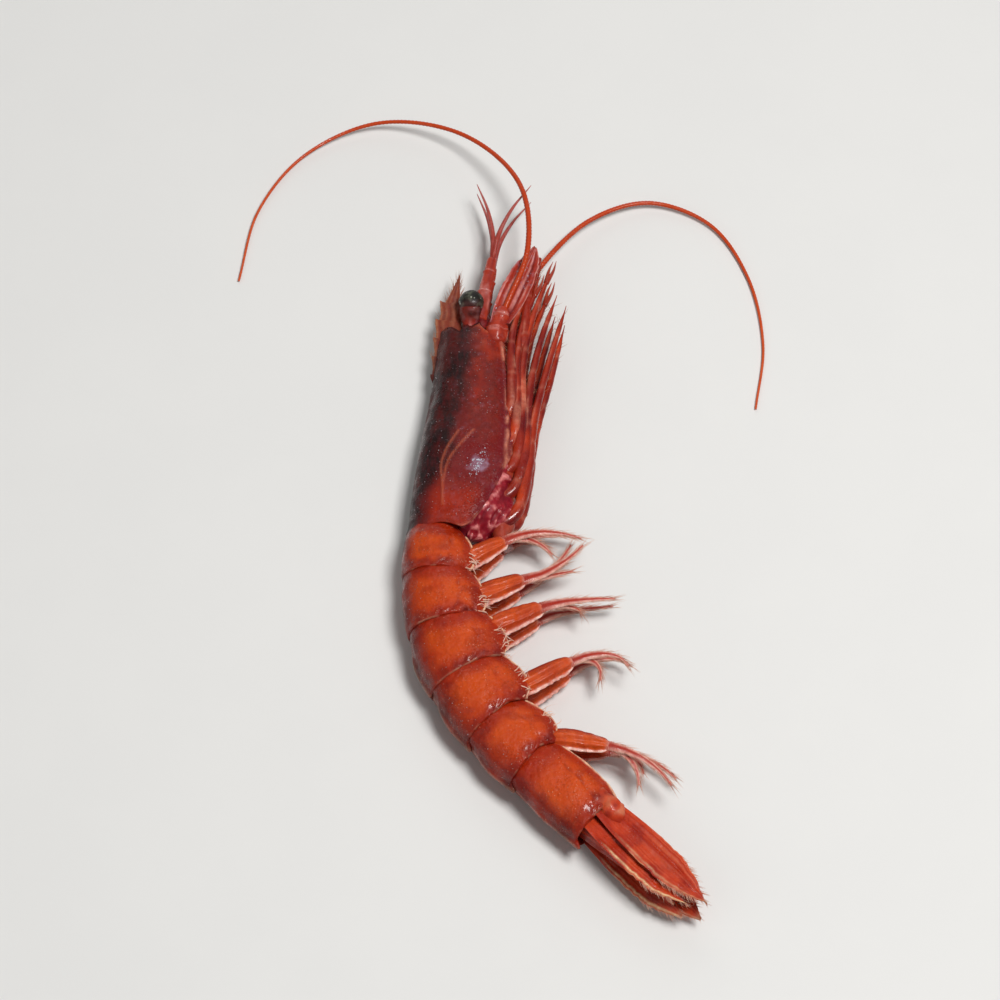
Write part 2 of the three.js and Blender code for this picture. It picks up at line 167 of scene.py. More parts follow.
def streaked(along, across, seed):
    """Smooth noise over a skin. The two values count its patches along and across it."""
    return noise(np.stack([along, across, 0 * along], axis=-1), 1, seed)


TAIL_START = CARAPACE_LENGTH
BODY_LENGTH = TAIL_START + sum(plate.length for plate in PLATES)
PLATE_ENDS = TAIL_START + np.cumsum([plate.length for plate in PLATES])
HEADING_PLACES = np.concatenate([(0, TAIL_START / 2, TAIL_START), PLATE_ENDS])
TURNED = CARAPACE_HEADINGS[2] + np.cumsum([plate.turn for plate in PLATES])
HEADINGS = np.radians(np.concatenate([CARAPACE_HEADINGS, TURNED]))
BACK_STEP = 0.25
SPAN_STEPS = 40  # points worked out between two given points of a curve
BACK_S = np.arange(0, BODY_LENGTH + BACK_STEP / 2, BACK_STEP)
BACK_HEADING = np.interp(BACK_S[:-1] + BACK_STEP / 2, HEADING_PLACES, HEADINGS)
BACK_X = np.concatenate([[0], np.cumsum(np.sin(BACK_HEADING) * BACK_STEP)])
BACK_Y = np.concatenate([[0], np.cumsum(-np.cos(BACK_HEADING) * BACK_STEP)])
SOCKET = np.array([LOW_CORNER[0], LOW_CORNER[1]]) / MM + SOCKET_FROM_CORNER


def at(s, d, w):
    """Body coordinates to points in millimetres in the frame."""
    s, d, w = np.broadcast_arrays(np.asarray(s, float), d, w)
    heading = np.interp(s, HEADING_PLACES, HEADINGS)
    inside = np.clip(s, 0, BODY_LENGTH)
    beyond = s - inside
    x = np.interp(inside, BACK_S, BACK_X) + beyond * np.sin(heading) + d * np.cos(heading)
    y = np.interp(inside, BACK_S, BACK_Y) - beyond * np.cos(heading) + d * np.sin(heading)
    return np.stack([x + SOCKET[0], y + SOCKET[1], w + MIDDLE_HEIGHT], axis=-1)


def rings(rows, columns):
    """Share of the length and angle round the axis for each point of a skin."""
    t = np.linspace(0, 1, rows + 1)
    a = np.linspace(-math.pi, math.pi, columns, endpoint=False)
    return np.meshgrid(t, a, indexing="ij")


def curve(points, count):
    """Points spaced evenly along a smooth line through the given points, and its directions."""
    points = np.asarray(points, float)
    knots = np.concatenate([[2 * points[0] - points[1]], points, [2 * points[-1] - points[-2]]])
    gaps = np.sqrt(np.linalg.norm(np.diff(knots, axis=0), axis=1))
    line = []
    for i in range(len(points) - 1):
        p0, p1, p2, p3 = knots[i:i + 4]
        g0, g1, g2 = gaps[i:i + 3]
        out = ((p1 - p0) / g0 - (p2 - p0) / (g0 + g1) + (p2 - p1) / g1) * g1
        into = ((p2 - p1) / g1 - (p3 - p1) / (g1 + g2) + (p3 - p2) / g2) * g1
        u = np.linspace(0, 1, SPAN_STEPS, endpoint=i == len(points) - 2)[:, None]
        bend = (2 * p1 - 2 * p2 + out + into) * u ** 3
        line.append(p1 + out * u + (3 * p2 - 3 * p1 - 2 * out - into) * u ** 2 + bend)
    line = np.concatenate(line)
    travelled = np.concatenate([[0], np.cumsum(np.linalg.norm(np.diff(line, axis=0), axis=1))])
    places = np.linspace(0, travelled[-1], count)
    path = np.stack([np.interp(places, travelled, line[:, k]) for k in range(3)], axis=-1)
    direction = np.gradient(path, axis=0)
    return path, direction / np.linalg.norm(direction, axis=1, keepdims=True)


def limb_grid(points, radius, flat=0.8, rows=40, sides=12):
    """Rings of a tapered limb of half breadth radius(t). flat is its thickness as a share of that,
    a number or a function of the share of the length and the angle."""
    path, tangent = curve(points, rows + 1)
    across = np.cross((0, 0, 1), tangent)
    across /= np.linalg.norm(across, axis=1, keepdims=True)
    over = np.cross(tangent, across)
    t, a = rings(rows, sides)
    thick = flat(t, a) if callable(flat) else flat
    sideways = across[:, None] * np.cos(a)[..., None]
    upward = over[:, None] * (thick * np.sin(a))[..., None]
    return path[:, None] + radius(t)[..., None] * (sideways + upward), t, a


def closed(t, start, end):
    """A factor that rounds off a limb's two ends, over the given shares of its length."""
    into = 1 - np.clip(t / start, 0, 1)
    out = 1 - np.clip((1 - t) / end, 0, 1)
    return np.maximum(np.sqrt((1 - into ** 2) * (1 - out ** 2)), 0.04)


class Shape:
    """Points, faces and masks of one piece before its mesh is made."""

    def __init__(self):
        self.points = []
        self.faces = []
        self.masks = {name: [] for name in MASKS}
        self.count = 0

    def add_skin(self, grid, **masks):
        """A closed skin through rings of points, with a point in the middle of each end. Its
        masks are held between 0 and 1, and those that aren't given are 0."""
        rows, sides = grid.shape[:2]
        self.points += [grid.reshape(-1, 3), [grid[0].mean(axis=0), grid[-1].mean(axis=0)]]
        for name, values in self.masks.items():
            field = np.clip(np.broadcast_to(masks.get(name, 0.0), (rows, sides)), 0, 1)
            values += [field.ravel(), [field[0].mean(), field[-1].mean()]]
        index = self.count + np.arange(rows * sides).reshape(rows, sides)
        after = np.roll(index, -1, axis=1)
        quads = np.stack([index[:-1], after[:-1], after[1:], index[1:]], axis=-1)
        first_end = self.count + rows * sides
        self.faces += quads.reshape(-1, 4).tolist()
        self.faces += [(first_end, b, a) for a, b in zip(index[0].tolist(), after[0].tolist())]
        self.faces += [(first_end + 1, a, b) for a, b in zip(index[-1].tolist(), after[-1].tolist())]
        self.count += rows * sides + 2
        return self


def piece(name, shape, material):
    """Makes the mesh of a shape, and lets it ride on the body and stand for the CAD solid."""
    points = np.concatenate(shape.points)
    points[:, 2] = np.maximum(points[:, 2], LOWEST_SKIN)
    mesh = bpy.data.meshes.new(name)
    mesh.from_pydata(points * MM, [], shape.faces)
    for mask, values in shape.masks.items():
        attribute = mesh.attributes.new(mask, "FLOAT", "POINT")
        attribute.data.foreach_set("value", np.concatenate(values).astype(np.float32))
    work = bmesh.new()
    work.from_mesh(mesh)
    bmesh.ops.recalc_face_normals(work, faces=work.faces)
    work.to_mesh(mesh)
    work.free()
    mesh.shade_smooth()
    mesh.materials.append(material)
    made = bpy.data.objects.new(name, mesh)
    bpy.context.collection.objects.link(made)
    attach(made, "root")
    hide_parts("prawn")
    return made


# ---- helpers for materials ------------------------------------------------------------------


def srgb(red, green, blue):
    """A screen colour of 0 to 255 as the linear colour that shaders take."""
    def linear(value):
        value /= 255
        return value / 12.92 if value <= 0.04045 else ((value + 0.055) / 1.055) ** 2.4
    return (linear(red), linear(green), linear(blue), 1)


class Nodes:
    """A short way to add nodes to a tree and link them."""

    def __init__(self, tree):
        self.tree = tree

    def add(self, kind, inputs=None, **settings):
        made = self.tree.nodes.new(kind)
        for key, value in settings.items():
            setattr(made, key, value)
        for key, value in (inputs or {}).items():
            if isinstance(value, bpy.types.NodeSocket):
                self.tree.links.new(value, made.inputs[key])
            else:
                made.inputs[key].default_value = value
        return made.outputs

    def maths(self, operation, first, second=0.0):
        return self.add("ShaderNodeMath", {0: first, 1: second}, operation=operation)["Value"]

    def times(self, first, second):
        return self.maths("MULTIPLY", first, second)

    def colour(self, factor, under, over):
        sockets = {0: factor, 6: under, 7: over}
        return self.add("ShaderNodeMix", sockets, data_type="RGBA")[2]

    def ramp(self, value, low, high, to_low=0.0, to_high=1.0):
        sockets = {0: value, 1: low, 2: high, 3: to_low, 4: to_high}
        return self.add("ShaderNodeMapRange", sockets, interpolation_type="SMOOTHSTEP")[0]

    def mask(self, name):
        return self.add("ShaderNodeAttribute", attribute_name=name)["Fac"]

    def place(self):
        return self.add("ShaderNodeTexCoord")["Object"]

    def cloud(self, place, scale, detail):
        grain = {"Vector": place, "Scale": scale, "Detail": detail}
        return self.add("ShaderNodeTexNoise", grain)["Fac"]

    def cells(self, place, scale):
        return self.add("ShaderNodeTexVoronoi", {"Vector": place, "Scale": scale})

    def effect(self, group, **inputs):
        made = self.tree.nodes.new("ShaderNodeGroup")
        made.node_tree = group
        for key, value in inputs.items():
            socket = made.inputs[key.replace("_", " ").capitalize()]
            if isinstance(value, bpy.types.NodeSocket):
                self.tree.links.new(value, socket)
            else:
                socket.default_value = value
        return made.outputs


def effect_group(name, inputs, outputs):
    """An empty node group with the named inputs and outputs, all plain numbers."""
    tree = bpy.data.node_groups.new(name, "ShaderNodeTree")
    for label, default in inputs.items():
        socket = tree.interface.new_socket(label, in_out="INPUT", socket_type="NodeSocketFloat")
        socket.default_value = default
    for label in outputs:
        tree.interface.new_socket(label, in_out="OUTPUT", socket_type="NodeSocketFloat")
    given = tree.nodes.new("NodeGroupInput").outputs
    wanted = tree.nodes.new("NodeGroupOutput").inputs
    return tree, Nodes(tree), given, wanted


def mottle_effect():
    """Cloudy patches of deeper and paler colour, as flesh shows through a thin shell."""
    tree, nodes, given, wanted = effect_group(
        "mottle", {"Scale": 300.0, "Low": 0.35, "High": 0.65, "Stretch": 1.0}, ["Patches"]
    )
    along = nodes.maths("DIVIDE", 1.0, given["Stretch"])
    pull = nodes.add("ShaderNodeCombineXYZ", {"X": 1.0, "Y": along, "Z": 1.0})["Vector"]
    place = {0: nodes.place(), 1: pull}
    drawn = nodes.add("ShaderNodeVectorMath", place, operation="MULTIPLY")["Vector"]
    clouds = {"Vector": drawn, "Scale": given["Scale"], "Detail": 5.0, "Roughness": 0.62}
    cloud = nodes.add("ShaderNodeTexNoise", clouds)["Fac"]
    patches = nodes.ramp(cloud, given["Low"], given["High"])
    tree.links.new(patches, wanted["Patches"])
    return tree


def freckle_effect():
    """Small dots of pigment, thicker in some places than in others."""
    tree, nodes, given, wanted = effect_group(
        "freckles", {"Scale": 2200.0, "Radius": 0.32}, ["Dots"]
    )
    place = nodes.place()
    cells = nodes.cells(place, given["Scale"])
    near = nodes.maths("SUBTRACT", given["Radius"], cells["Distance"])
    dots = nodes.ramp(near, 0.0, 0.12)
    thick = nodes.cloud(place, 260.0, 3.0)
    tree.links.new(nodes.times(dots, nodes.ramp(thick, 0.4, 0.62)), wanted["Dots"])
    return tree


def frost_effect():
    """Specks of ice and a thin bloom of frost, in drifts."""
    tree, nodes, given, wanted = effect_group(
        "frost", {"Amount": 0.5, "Scale": 1300.0}, ["Specks", "Bloom"]
    )
    place = nodes.place()
    cells = nodes.cells(place, given["Scale"])
    drift = nodes.cloud(place, 170.0, 4.0)
    spread = nodes.times(nodes.ramp(drift, 0.42, 0.68), given["Amount"])
    reach = nodes.maths("ADD", spread, nodes.ramp(given["Amount"], 0.6, 1.3, 0.0, 0.9))
    size = nodes.add("ShaderNodeSeparateColor", {"Color": cells["Color"]})["Red"]
    near = nodes.maths("SUBTRACT", nodes.times(nodes.times(reach, size), 0.42), cells["Distance"])
    fine = nodes.cloud(place, 900.0, 6.0)
    tree.links.new(nodes.ramp(near, 0.0, 0.12), wanted["Specks"])
    tree.links.new(nodes.times(nodes.ramp(fine, 0.48, 0.72), reach), wanted["Bloom"])
    return tree


def wet_effect():
    """Fine unevenness of a wet shell: a height for bumps, and how matt the surface is."""
    tree, nodes, given, wanted = effect_group(
        "wet", {"Scale": 900.0, "Smoothest": 0.2, "Roughest": 0.5}, ["Height", "Matt", "Film"]
    )
    place = nodes.place()
    grain = {"Vector": place, "Scale": given["Scale"], "Detail": 6.0, "Roughness": 0.6}
    fine = nodes.add("ShaderNodeTexNoise", grain)["Fac"]
    film = nodes.cloud(place, 330.0, 4.0)
    dry = nodes.ramp(film, 0.35, 0.65)
    spread = nodes.maths("SUBTRACT", given["Roughest"], given["Smoothest"])
    matt = nodes.maths("ADD", given["Smoothest"], nodes.times(spread, dry))
    tree.links.new(fine, wanted["Height"])
    tree.links.new(matt, wanted["Matt"])
    tree.links.new(nodes.maths("SUBTRACT", 1.0, dry), wanted["Film"])
    return tree


EFFECTS = {
    "mottle": mottle_effect(),
    "freckles": freckle_effect(),
    "frost": frost_effect(),
    "wet": wet_effect(),
}


def new_material(name):
    material = bpy.data.materials.new(name)
    material.use_nodes = True
    tree = material.node_tree
    return material, Nodes(tree), tree.nodes["Principled BSDF"].inputs


def shell_colour(nodes, colours, dots, veins, flecks, ice):
    """The shell's colour: its base, then each deeper or paler tone where its mask says so."""
    patches = nodes.effect(EFFECTS["mottle"], scale=230.0, stretch=1.7)["Patches"]
    small = nodes.effect(EFFECTS["mottle"], scale=800.0, low=0.3, high=0.7)["Patches"]
    thin = nodes.effect(EFFECTS["mottle"], scale=1100.0, low=0.42, high=0.62, stretch=3.5)
    uneven = nodes.ramp(patches, 0.0, 1.0, 0.68, 1.0)
    shade = nodes.colour(nodes.times(small, 0.3), colours["base"], colours["glow"])
    for tone in ("glow", "wine", "stain"):
        shade = nodes.colour(nodes.times(nodes.mask(tone), uneven), shade, colours[tone])
    shade = nodes.colour(nodes.times(thin["Patches"], veins), shade, colours["wine"])
    shade = nodes.colour(nodes.times(nodes.mask("groove"), 0.7), shade, colours["groove"])
    shade = nodes.colour(dots, shade, colours["stain"])
    worn = nodes.ramp(small, 0.0, 1.0, 0.5, 1.0)
    shade = nodes.colour(nodes.times(nodes.mask("rim"), worn), shade, colours["rim"])
    thick = nodes.times(nodes.ramp(nodes.mask("ice"), 0.5, 1.0, 0.0, 0.45), uneven)
    bloom = nodes.times(ice["Bloom"], nodes.ramp(nodes.mask("stain"), 0.0, 1.0, 0.4, 0.16))
    haze = nodes.maths("ADD", bloom, thick)
    shade = nodes.colour(haze, shade, colours["haze"])
    pale = nodes.effect(EFFECTS["freckles"], scale=1400.0, radius=0.2)["Dots"]
    shade = nodes.colour(nodes.times(pale, flecks), shade, colours["frost"])
    return nodes.colour(nodes.times(ice["Specks"], 0.6), shade, colours["frost"])


def shell_material(
    name, colours, frost=0.5, freckle=0.35, veins=0.2, flecks=0.0, bump=0.35, glaze=0.4, roughest=0.5
):
    """Thin wet shell. colours is a palette as palette() makes it."""
    material, nodes, surface = new_material(name)
    amount = nodes.maths("ADD", frost, nodes.mask("ice"))
    ice = nodes.effect(EFFECTS["frost"], amount=amount)
    wet = nodes.effect(EFFECTS["wet"], roughest=roughest)
    dots = nodes.times(nodes.effect(EFFECTS["freckles"])["Dots"], freckle)
    grit = nodes.maths("ADD", nodes.times(ice["Specks"], 1.2), nodes.times(dots, 0.9))
    height = nodes.maths("ADD", wet["Height"], grit)
    heights = {"Strength": bump, "Distance": 0.0005, "Height": height}
    less_on_stain = nodes.ramp(nodes.mask("stain"), 0.0, 1.0, 1.0, 0.4)
    links = {
        "Base Color": shell_colour(nodes, colours, dots, veins, flecks, ice),
        "Roughness": wet["Matt"],
        "Coat Weight": nodes.times(nodes.times(wet["Film"], glaze), less_on_stain),
        "Normal": nodes.add("ShaderNodeBump", heights)["Normal"],
    }
    for socket, value in links.items():
        nodes.tree.links.new(value, surface[socket])
    surface["Specular IOR Level"].default_value = 0.2
    surface["Subsurface Weight"].default_value = 0.1
    surface["Subsurface Radius"].default_value = (1.0, 0.25, 0.1)
    surface["Subsurface Scale"].default_value = 0.0015
    surface["Coat Roughness"].default_value = 0.1
    return material


def palette(**changes):
    """The tones of a shell, given as screen colours where they aren't those of the head's."""
    tones = {
        "base": (102, 26, 20),
        "glow": (158, 38, 10),
        "wine": (112, 18, 28),
        "stain": (26, 13, 13),
        "groove": (190, 96, 66),
        "rim": (214, 134, 108),
        "haze": (158, 130, 150),
        "frost": (196, 180, 190),
    }
    tones.update(changes)
    return {name: srgb(*tone) for name, tone in tones.items()}


def cornea_material():
    """The dark glassy eye, with a breath of green and frost."""
    material, nodes, surface = new_material("cornea")
    patches = nodes.effect(EFFECTS["mottle"], scale=420.0)["Patches"]
    shade = nodes.colour(nodes.times(patches, 0.5), srgb(12, 9, 9), srgb(44, 44, 30))
    shade = nodes.colour(nodes.mask("wine"), shade, srgb(58, 18, 16))
    ice = nodes.effect(EFFECTS["frost"], amount=1.1)
    shade = nodes.colour(nodes.times(ice["Bloom"], 0.4), shade, srgb(120, 124, 104))
    shade = nodes.colour(nodes.times(ice["Specks"], 0.6), shade, srgb(186, 186, 168))
    place = nodes.place()
    cells = nodes.cells(place, 5200.0)["Distance"]
    heights = {"Strength": 0.25, "Distance": 0.0001, "Height": cells}
    nodes.tree.links.new(shade, surface["Base Color"])
    nodes.tree.links.new(nodes.add("ShaderNodeBump", heights)["Normal"], surface["Normal"])
    surface["Roughness"].default_value = 0.42
    surface["Specular IOR Level"].default_value = 0.3
    surface["Coat Weight"].default_value = 0.12
    surface["Coat Roughness"].default_value = 0.1
    return material


def hair_material(name, root, tip):
    """Fine hair that pales towards its tip, by its rim mask."""
    material, nodes, surface = new_material(name)
    small = nodes.effect(EFFECTS["mottle"], scale=700.0)["Patches"]
    fade = nodes.times(nodes.mask("rim"), nodes.ramp(small, 0.0, 1.0, 0.7, 1.0))
    nodes.tree.links.new(nodes.colour(fade, root, tip), surface["Base Color"])
    wet = nodes.effect(EFFECTS["wet"], smoothest=0.25, roughest=0.45)
    nodes.tree.links.new(wet["Matt"], surface["Roughness"])
    return material


def ice_material():
    """Small grains of frost."""
    material, nodes, surface = new_material("ice_grains")
    patches = nodes.effect(EFFECTS["mottle"], scale=800.0)["Patches"]
    shade = nodes.colour(patches, srgb(140, 116, 122), srgb(204, 192, 196))
    shade = nodes.colour(nodes.mask("rim"), shade, srgb(222, 222, 234))
    nodes.tree.links.new(shade, surface["Base Color"])
    surface["Roughness"].default_value = 0.3
    surface["Transmission Weight"].default_value = 0.3
    return material


def floor_material():
    """A plain pale studio floor with the faintest grain."""
    material, nodes, surface = new_material("studio_floor")
    patches = nodes.effect(EFFECTS["mottle"], scale=30.0)["Patches"]
    shade = nodes.colour(nodes.times(patches, 0.15), srgb(222, 221, 218), srgb(214, 213, 211))
    nodes.tree.links.new(shade, surface["Base Color"])
    surface["Roughness"].default_value = 0.75
    return material


# ---- carapace and rostrum -------------------------------------------------------------------

# The front edge from the back downwards: share of the depth, and how far it stands behind the
# eye sockets' line, with the socket's notch and two small spines.
FRONT_EDGE = ((0, 0.12, 0.26, 0.39, 0.46, 0.60, 0.68, 1), (0, 0.5, 1.9, -0.7, 0.4, -1.0, 0.5, 3.4))
# Fine raised lines in the shell's side, as body coordinates (s, d).
SHELL_LINES = (
    ((27.3, 7.7), (32, 6.1), (36.4, 5.6), (40.6, 6.5), (46, 7.2)),
    ((26.5, 10.8), (30.4, 8.8), (34.8, 7.0), (40.4, 6.5)),
)
# Soft orange streaks where the organs shine through.
SHELL_STREAKS = (
    ((9, 8.0), (15, 9.2), (20.5, 10.2)), ((0.5, 6.4), (5, 7.2), (9, 7.8)),
    ((0.5, 9.2), (4, 9.8), (8, 11)), ((0.5, 11.6), (7, 12.6)),
)
SPARKLE = (35.2, 13.2)  # the middle of a patch of frost, as (s, d)
REAR_CUT = 22  # how far the lower rear corner is cut away at the lower edge
CUT_START = 0.5  # share of the depth at which the cut starts
LINE_WIDTH = 0.24
HEM = 0.94  # share of the depth at which a pale hem runs along the lower edge
REAR_NOTCH = 1.8  # depth of the hollow in the flank of the rear edge
FLAP_START, FLAP_END = 23, 51
FRONT_BEND = 0.26  # share of the length over which the front edge's form fades


def carapace_depth(s):
    return over_length(CARAPACE_DEPTHS, np.clip(np.asarray(s) / CARAPACE_LENGTH, 0, 1))


def plate_section(a, depth, half_width, hang):
    """Depth and sideways distance of a plate's skin at angle a round the body."""
    turned = np.abs(a)
    lowness = np.minimum(1, (1 - np.cos(turned)) / (1 - math.cos(LOBE_TIP)))
    under = smooth(LOBE_TIP, math.pi, turned)
    side = np.abs(np.sin(turned)) ** 0.8
    return depth * lowness - hang * under, np.sign(a) * half_width * side


def near_line(s, d, line, width):
    """1 on a smooth line through points (s, d), falling to 0 on both sides of it."""
    path = curve([(x, y, 0) for x, y in line], 24)[0][:, :2]
    nearest = np.full(s.shape, np.inf)
    for start, end in zip(path, path[1:]):
        step = end - start
        share = np.clip(((s - start[0]) * step[0] + (d - start[1]) * step[1]) / step.dot(step), 0, 1)
        gap = np.hypot(s - start[0] - share * step[0], d - start[1] - share * step[1])
        nearest = np.minimum(nearest, gap)
    return np.exp(-((nearest / width) ** 2))


def near_lines(s, d, lines, width):
    return np.maximum.reduce([near_line(s, d, line, width) for line in lines])


def carapace_place(t, a):
    """Body coordinates of the carapace's plain skin, and the share of the depth."""
    low = plate_section(a, 1, 1, 0)[0]
    cut = REAR_CUT * np.clip((low - CUT_START) / (1 - CUT_START), 0, 1) ** 1.6
    front = np.interp(low, *FRONT_EDGE) * (1 - smooth(0, FRONT_BEND, t))
    notch = REAR_NOTCH * hump(low, 0.33, 0.2) * smooth(0.6, 1, t)
    s = t * (CARAPACE_LENGTH - cut) + front - notch
    share = np.clip(s / CARAPACE_LENGTH, 0, 1)
    nose = 0.82 + 0.18 * np.sqrt(1 - (1 - np.clip(share / 0.14, 0, 1)) ** 2)
    tuck = 1 - 0.05 * smooth(0.9, 1, t)
    half_width = over_length(CARAPACE_HALF_WIDTHS, share) * nose * tuck
    d, w = plate_section(a, carapace_depth(s), half_width, 1.6)
    return s, d, w, low


def carapace_relief(t, a, s, d, low, place):
    """How far the carapace's skin stands out at each point."""
    keel = 0.7 * hump(a, 0, 0.16) * (1 - smooth(10, 37, s))
    line = near_lines(s, d, SHELL_LINES, LINE_WIDTH) + 1.4 * carapace_hem(s, low)
    soft = 0.2 * noise(place, 8) + 0.08 * noise(place, 2.6, 1)
    crumple = 0.5 * noise(place * (1.2, 0.7, 1), 2.1, 2) + 0.16 * noise(place, 0.9, 3)
    edge_t = smooth(0.72, 0.95, t) * smooth(CUT_START, 0.72, low)
    edge_low = smooth(0.84, 0.97, low) * smooth(14, 24, s)
    crumpled = np.maximum(edge_t, edge_low)
    rear = 0.25 * smooth(0.955, 1, t) - 0.5 * smooth(0.985, 1, t)
    return keel + soft + 0.2 * line + crumple * crumpled + rear - 0.6 * (1 - smooth(0, 0.02, t))


def carapace_hem(s, low):
    """The fine raised hem along the lower edge of the side."""
    return hump(low, HEM, 0.02) * smooth(1, 4, s) * (1 - smooth(29, 37, s))


def carapace_skin(t, a):
    s, d, w, low = carapace_place(t, a)
    lift = carapace_relief(t, a, s, d, low, at(s, d, w))
    return at(s, d - lift * np.cos(a), w + lift * np.sin(a)), s, d, low


def carapace():
    t, a = rings(230, 220)
    grid, s, d, low = carapace_skin(t, a)
    cloud = noise(grid, 5, 4)
    fine = noise(grid, 1.6, 5)
    band_edge = mix(7.6, 3.0, smooth(31, 48, s))
    band = 1 - smooth(-1.9, 2.2, d + 1.1 * cloud + 0.35 * fine - band_edge)
    cheek = hump(s, 0.5, 5) * smooth(0.45, 0.65, low)
    rear = smooth(37, 46, s + 1.5 * cloud + 0.8 * fine) * smooth(2, 6.5, d)
    cut_edge = smooth(0.86, 0.99, t) * smooth(0.52, 0.7, low)
    belly_edge = smooth(0.8, 0.93, low) * smooth(4, 16, s)
    bruise = hump(np.hypot(s - SPARKLE[0], d - SPARKLE[1] + cloud), 0, 7)
    streaks = near_lines(s, d, SHELL_STREAKS, 1.1) * smooth(-0.8, 0.3, fine)
    dorsal = smooth(37, 46, s) * (1 - smooth(1.5, 6, d))
    sparkle = hump(np.hypot(s - SPARKLE[0], d - SPARKLE[1]) + 1.3 * fine, 0, 3)
    hem = carapace_hem(s, low) * smooth(-0.6, 0.2, fine)
    # A painted highlight along the cheek's front edge.
    cheek_highlight = cheek * (1 - smooth(0.004, 0.03, t))
    rear_rim = smooth(0.988, 0.998, t) * smooth(0.3, 0.5, low) * smooth(-0.3, 0.3, fine)
    masks = {
        "stain": 0.97 * band * smooth(-1.5, 2, s),
        "wine": 0.85 * np.maximum(cut_edge, belly_edge) + 0.6 * dorsal + 0.8 * bruise * (1 - rear),
        "glow": 0.95 * rear * (1 - cut_edge) + 0.6 * streaks + 0.85 * cheek,
        # On the cheek the pale groove tone and the pale front rim are painted highlights.
        "groove": 0.75 * near_lines(s, d, SHELL_LINES, LINE_WIDTH) * smooth(-1.0, -0.3, fine)
        + 0.55 * cheek * smooth(-0.2, 0.5, fine),
        "rim": 0.4 * rear_rim + 0.6 * cheek_highlight + 0.35 * cut_edge * smooth(0.25, 0.6, fine)
        + 0.9 * hem,
        "ice": sparkle + 0.1 * band * smooth(-0.4, 0.3, cloud),
    }
    # The inward rings at the front edge are coloured near black, as painted shade in the hollow.
    inner, shade = front_hollow(t, a)
    for name, field in masks.items():
        dim = 0.9 if name == "stain" else 0.0
        masks[name] = np.concatenate([dim * shade, field])
    return Shape().add_skin(np.concatenate([inner, grid]), **masks)


def front_hollow(t, a):
    """Rings that turn the carapace's front edge inwards, where the head comes out of it, with a
    field of ones that marks them for painted shade.
    """
    s, d, w, _ = carapace_place(t[:1], a[:1])
    middle = carapace_depth(s) * 0.5
    steps = ((6, 0.6), (3, 0.8), (0.8, 0.9), (0.1, 0.955))
    rows = [at(s + back, middle + (d - middle) * share, w * share) for back, share in steps]
    return np.concatenate(rows), np.ones((len(steps), a.shape[1]))


def with_hollow(grid, masks, s):
    """Adds rings that turn a shell's rear edge at s inwards, coloured darker as painted shade in the
    gap under the edge.
    """
    middle = grid[-1].mean(axis=0)
    ahead = at(s - 1, 0, 0) - at(s, 0, 0)
    steps = ((0.1, 0.965), (0.7, 0.93), (3, 0.8))
    rows = [[middle + (grid[-1] - middle) * share + ahead * back] for back, share in steps]
    shade = np.ones((len(steps), grid.shape[1]))
    dark = {name: (0.6 if name in ("wine", "stain") else 0.0) * shade for name in masks}
    masks = {name: np.concatenate([field, dark[name]]) for name, field in masks.items()}
    return np.concatenate([grid, *rows]), masks


def gill_flap():
    """The crumpled wet skin between the carapace's cut corner and the roots of the legs."""
    t, a = rings(120, 130)
    s = mix(FLAP_START, FLAP_END, t)
    closing = np.sqrt(1 - smooth(0.7, 1, t) ** 2 * 0.9)
    depth = carapace_depth(s)
    d = depth * (0.6 - 0.42 * closing * np.cos(a))
    half_width = (over_length(CARAPACE_HALF_WIDTHS, s / CARAPACE_LENGTH) - 0.9) * closing
    w = half_width * np.sign(np.sin(a)) * np.abs(np.sin(a)) ** 0.7
    # The folds run down the slope.
    slant = np.stack([0.95 * (d + 0.45 * s), 0.24 * s, 0.3 * w], axis=-1)
    fold = np.abs(noise(slant, 1, 13))
    fine = noise(at(s, d, w), 0.8, 14)
    lift = 0.4 - fold + 0.22 * fine
    grid = at(s, d - lift * np.cos(a), w + lift * np.sin(a))
    crest = smooth(0.2, 0.5, lift)
    # The hollows of the folds are darker, as painted shade, and the pale rim along their crests is a
    # painted highlight.
    return Shape().add_skin(
        grid, wine=0.3 + 0.5 * (1 - crest), stain=0.5 * (1 - smooth(-0.2, 0.2, lift)),
        rim=0.9 * crest * smooth(-0.4, 0.2, fine) * smooth(0.05, 0.4, t), ice=0.2 * crest,
    )


def rostrum_top(ahead):
    """Height of the crest's toothed upper edge above the back, and each tooth's share of it."""
    step = (CREST_LENGTH + ROSTRUM_LENGTH * 0.45) / ROSTRUM_TEETH
    number = np.clip(np.floor((ahead + CREST_LENGTH) / step), 0, ROSTRUM_TEETH - 1)
    share = (ahead + CREST_LENGTH) / step - number
    tooth = np.interp(share, (0, 0.35, 0.9, 1), (0.12, 0.1, 1, 0.12))
    past = np.clip((ahead - ROSTRUM_LENGTH * 0.45) / (ROSTRUM_LENGTH * 0.55), 0, 1)
    tooth = tooth * (past == 0) * (0.5 + 0.12 * number)
    base = np.where(past > 0, mix(1.8, 0.05, past), 0.9 + 0.2 * (ahead + CREST_LENGTH) / step)
    return (base + tooth) * smooth(-CREST_LENGTH, 4 - CREST_LENGTH, ahead), tooth


